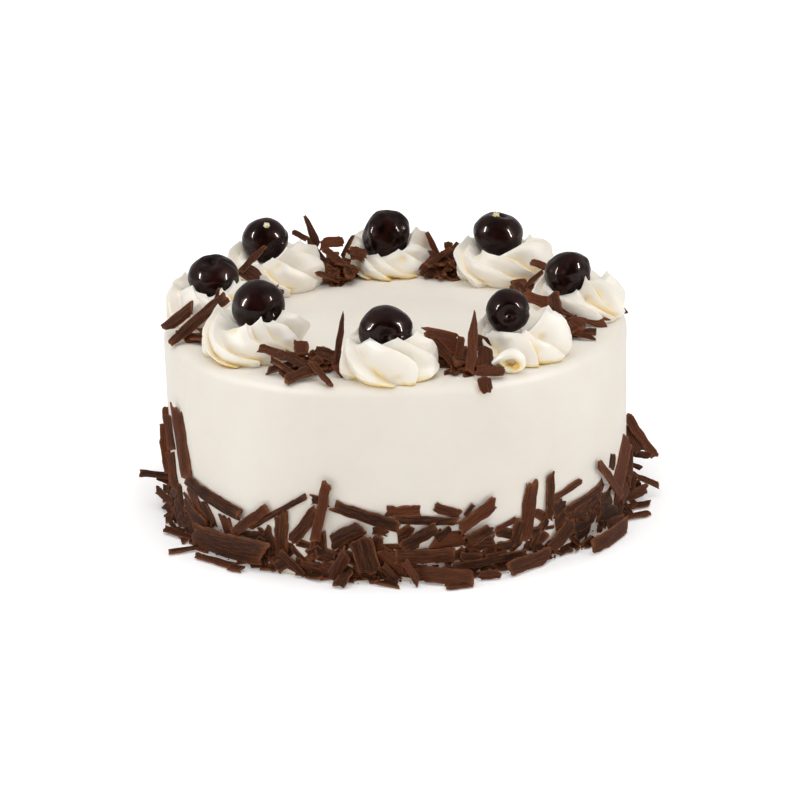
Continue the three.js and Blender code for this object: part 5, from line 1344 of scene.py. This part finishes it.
def studio():
    """A pale floor that glows as painted light, more away from the cake, two narrow lamps at the sides, a
    soft one overhead and a soft fill in front."""
    floor = new_primitive("floor", bpy.ops.mesh.primitive_plane_add, size=FLOOR_SIZE)
    finish = Finish("pale_floor")
    place = finish.place()
    speckle = finish.noise(place, scale=4, detail=2)
    away = finish.node("ShaderNodeVectorMath", {0: place}, operation="LENGTH").outputs["Value"]
    finish.set(Base_Color=finish.mix(speckle, *FLOOR_WHITES), Roughness=0.8, Specular_IOR_Level=0.1)
    # Painted light: the floor glows, more away from the cake
    finish.set(Emission_Color=(1, 1, 1, 1), Emission_Strength=finish.range(away, *FLOOR_GLOW))
    floor.data.materials.append(finish.material)
    put_down_everything()
    world = bpy.data.worlds.new("studio")
    bpy.context.scene.world = world
    world.use_nodes = True
    nodes, links = world.node_tree.nodes, world.node_tree.links
    direction = nodes.new("ShaderNodeTexCoord")
    split = nodes.new("ShaderNodeSeparateXYZ")
    links.new(direction.outputs["Generated"], split.inputs[0])
    front = nodes.new("ShaderNodeMapRange")
    links.new(split.outputs["Y"], front.inputs["Value"])
    for key, value in ROOM_LIGHT.items():
        front.inputs[key].default_value = value
    links.new(front.outputs["Result"], nodes["Background"].inputs["Strength"])
    nodes["Background"].inputs["Color"].default_value = ROOM_COLOUR
    for name, lamp in LAMPS.items():
        softbox(name, *lamp)
    bpy.context.scene.view_settings.view_transform = "Standard"


photo_camera()
studio()

# Each cream: its main colour, a mottle colour, and two colours of golden painted shade, which on the flecks
# are their own gold
cream = cream_finish("spread_cream", colour(232, 226, 216), colour(228, 220, 208), colour(226, 200, 150),
                     colour(206, 160, 60))
piped = cream_finish("piped_cream", colour(241, 235, 225), colour(236, 229, 217), colour(239, 216, 156),
                     colour(218, 172, 62))
chocolate = chocolate_finish()
syrup_cherry = cherry_finish()

finish_piece(frosting(), "cake", cream)
chocolate_masters = (plank_master(*PLANK_STRIPS), plank_master(*CHIP_STRIPS), crumb_master())
finish_piece(foot_chocolate(*chocolate_masters), "cake", chocolate, SMOOTH_ANGLE)
for number, row in enumerate(ROSETTES):
    finish_piece(rosette(row, number + 1), "rosette_" + row["place"], piped)
    finish_piece(cherry(row), "cherry_" + row["place"], syrup_cherry)
    if row["place"] in FLECKS:
        finish_piece(fleck(row, FLECKS[row["place"]]), "cherry_" + row["place"], piped)
finish_piece(piped_tail(), "rosette_front_right", piped)
for number, row in enumerate(HEAPS):
    finish_piece(heap_chocolate(row, number, *chocolate_masters), row["name"], chocolate,
                 SMOOTH_ANGLE)
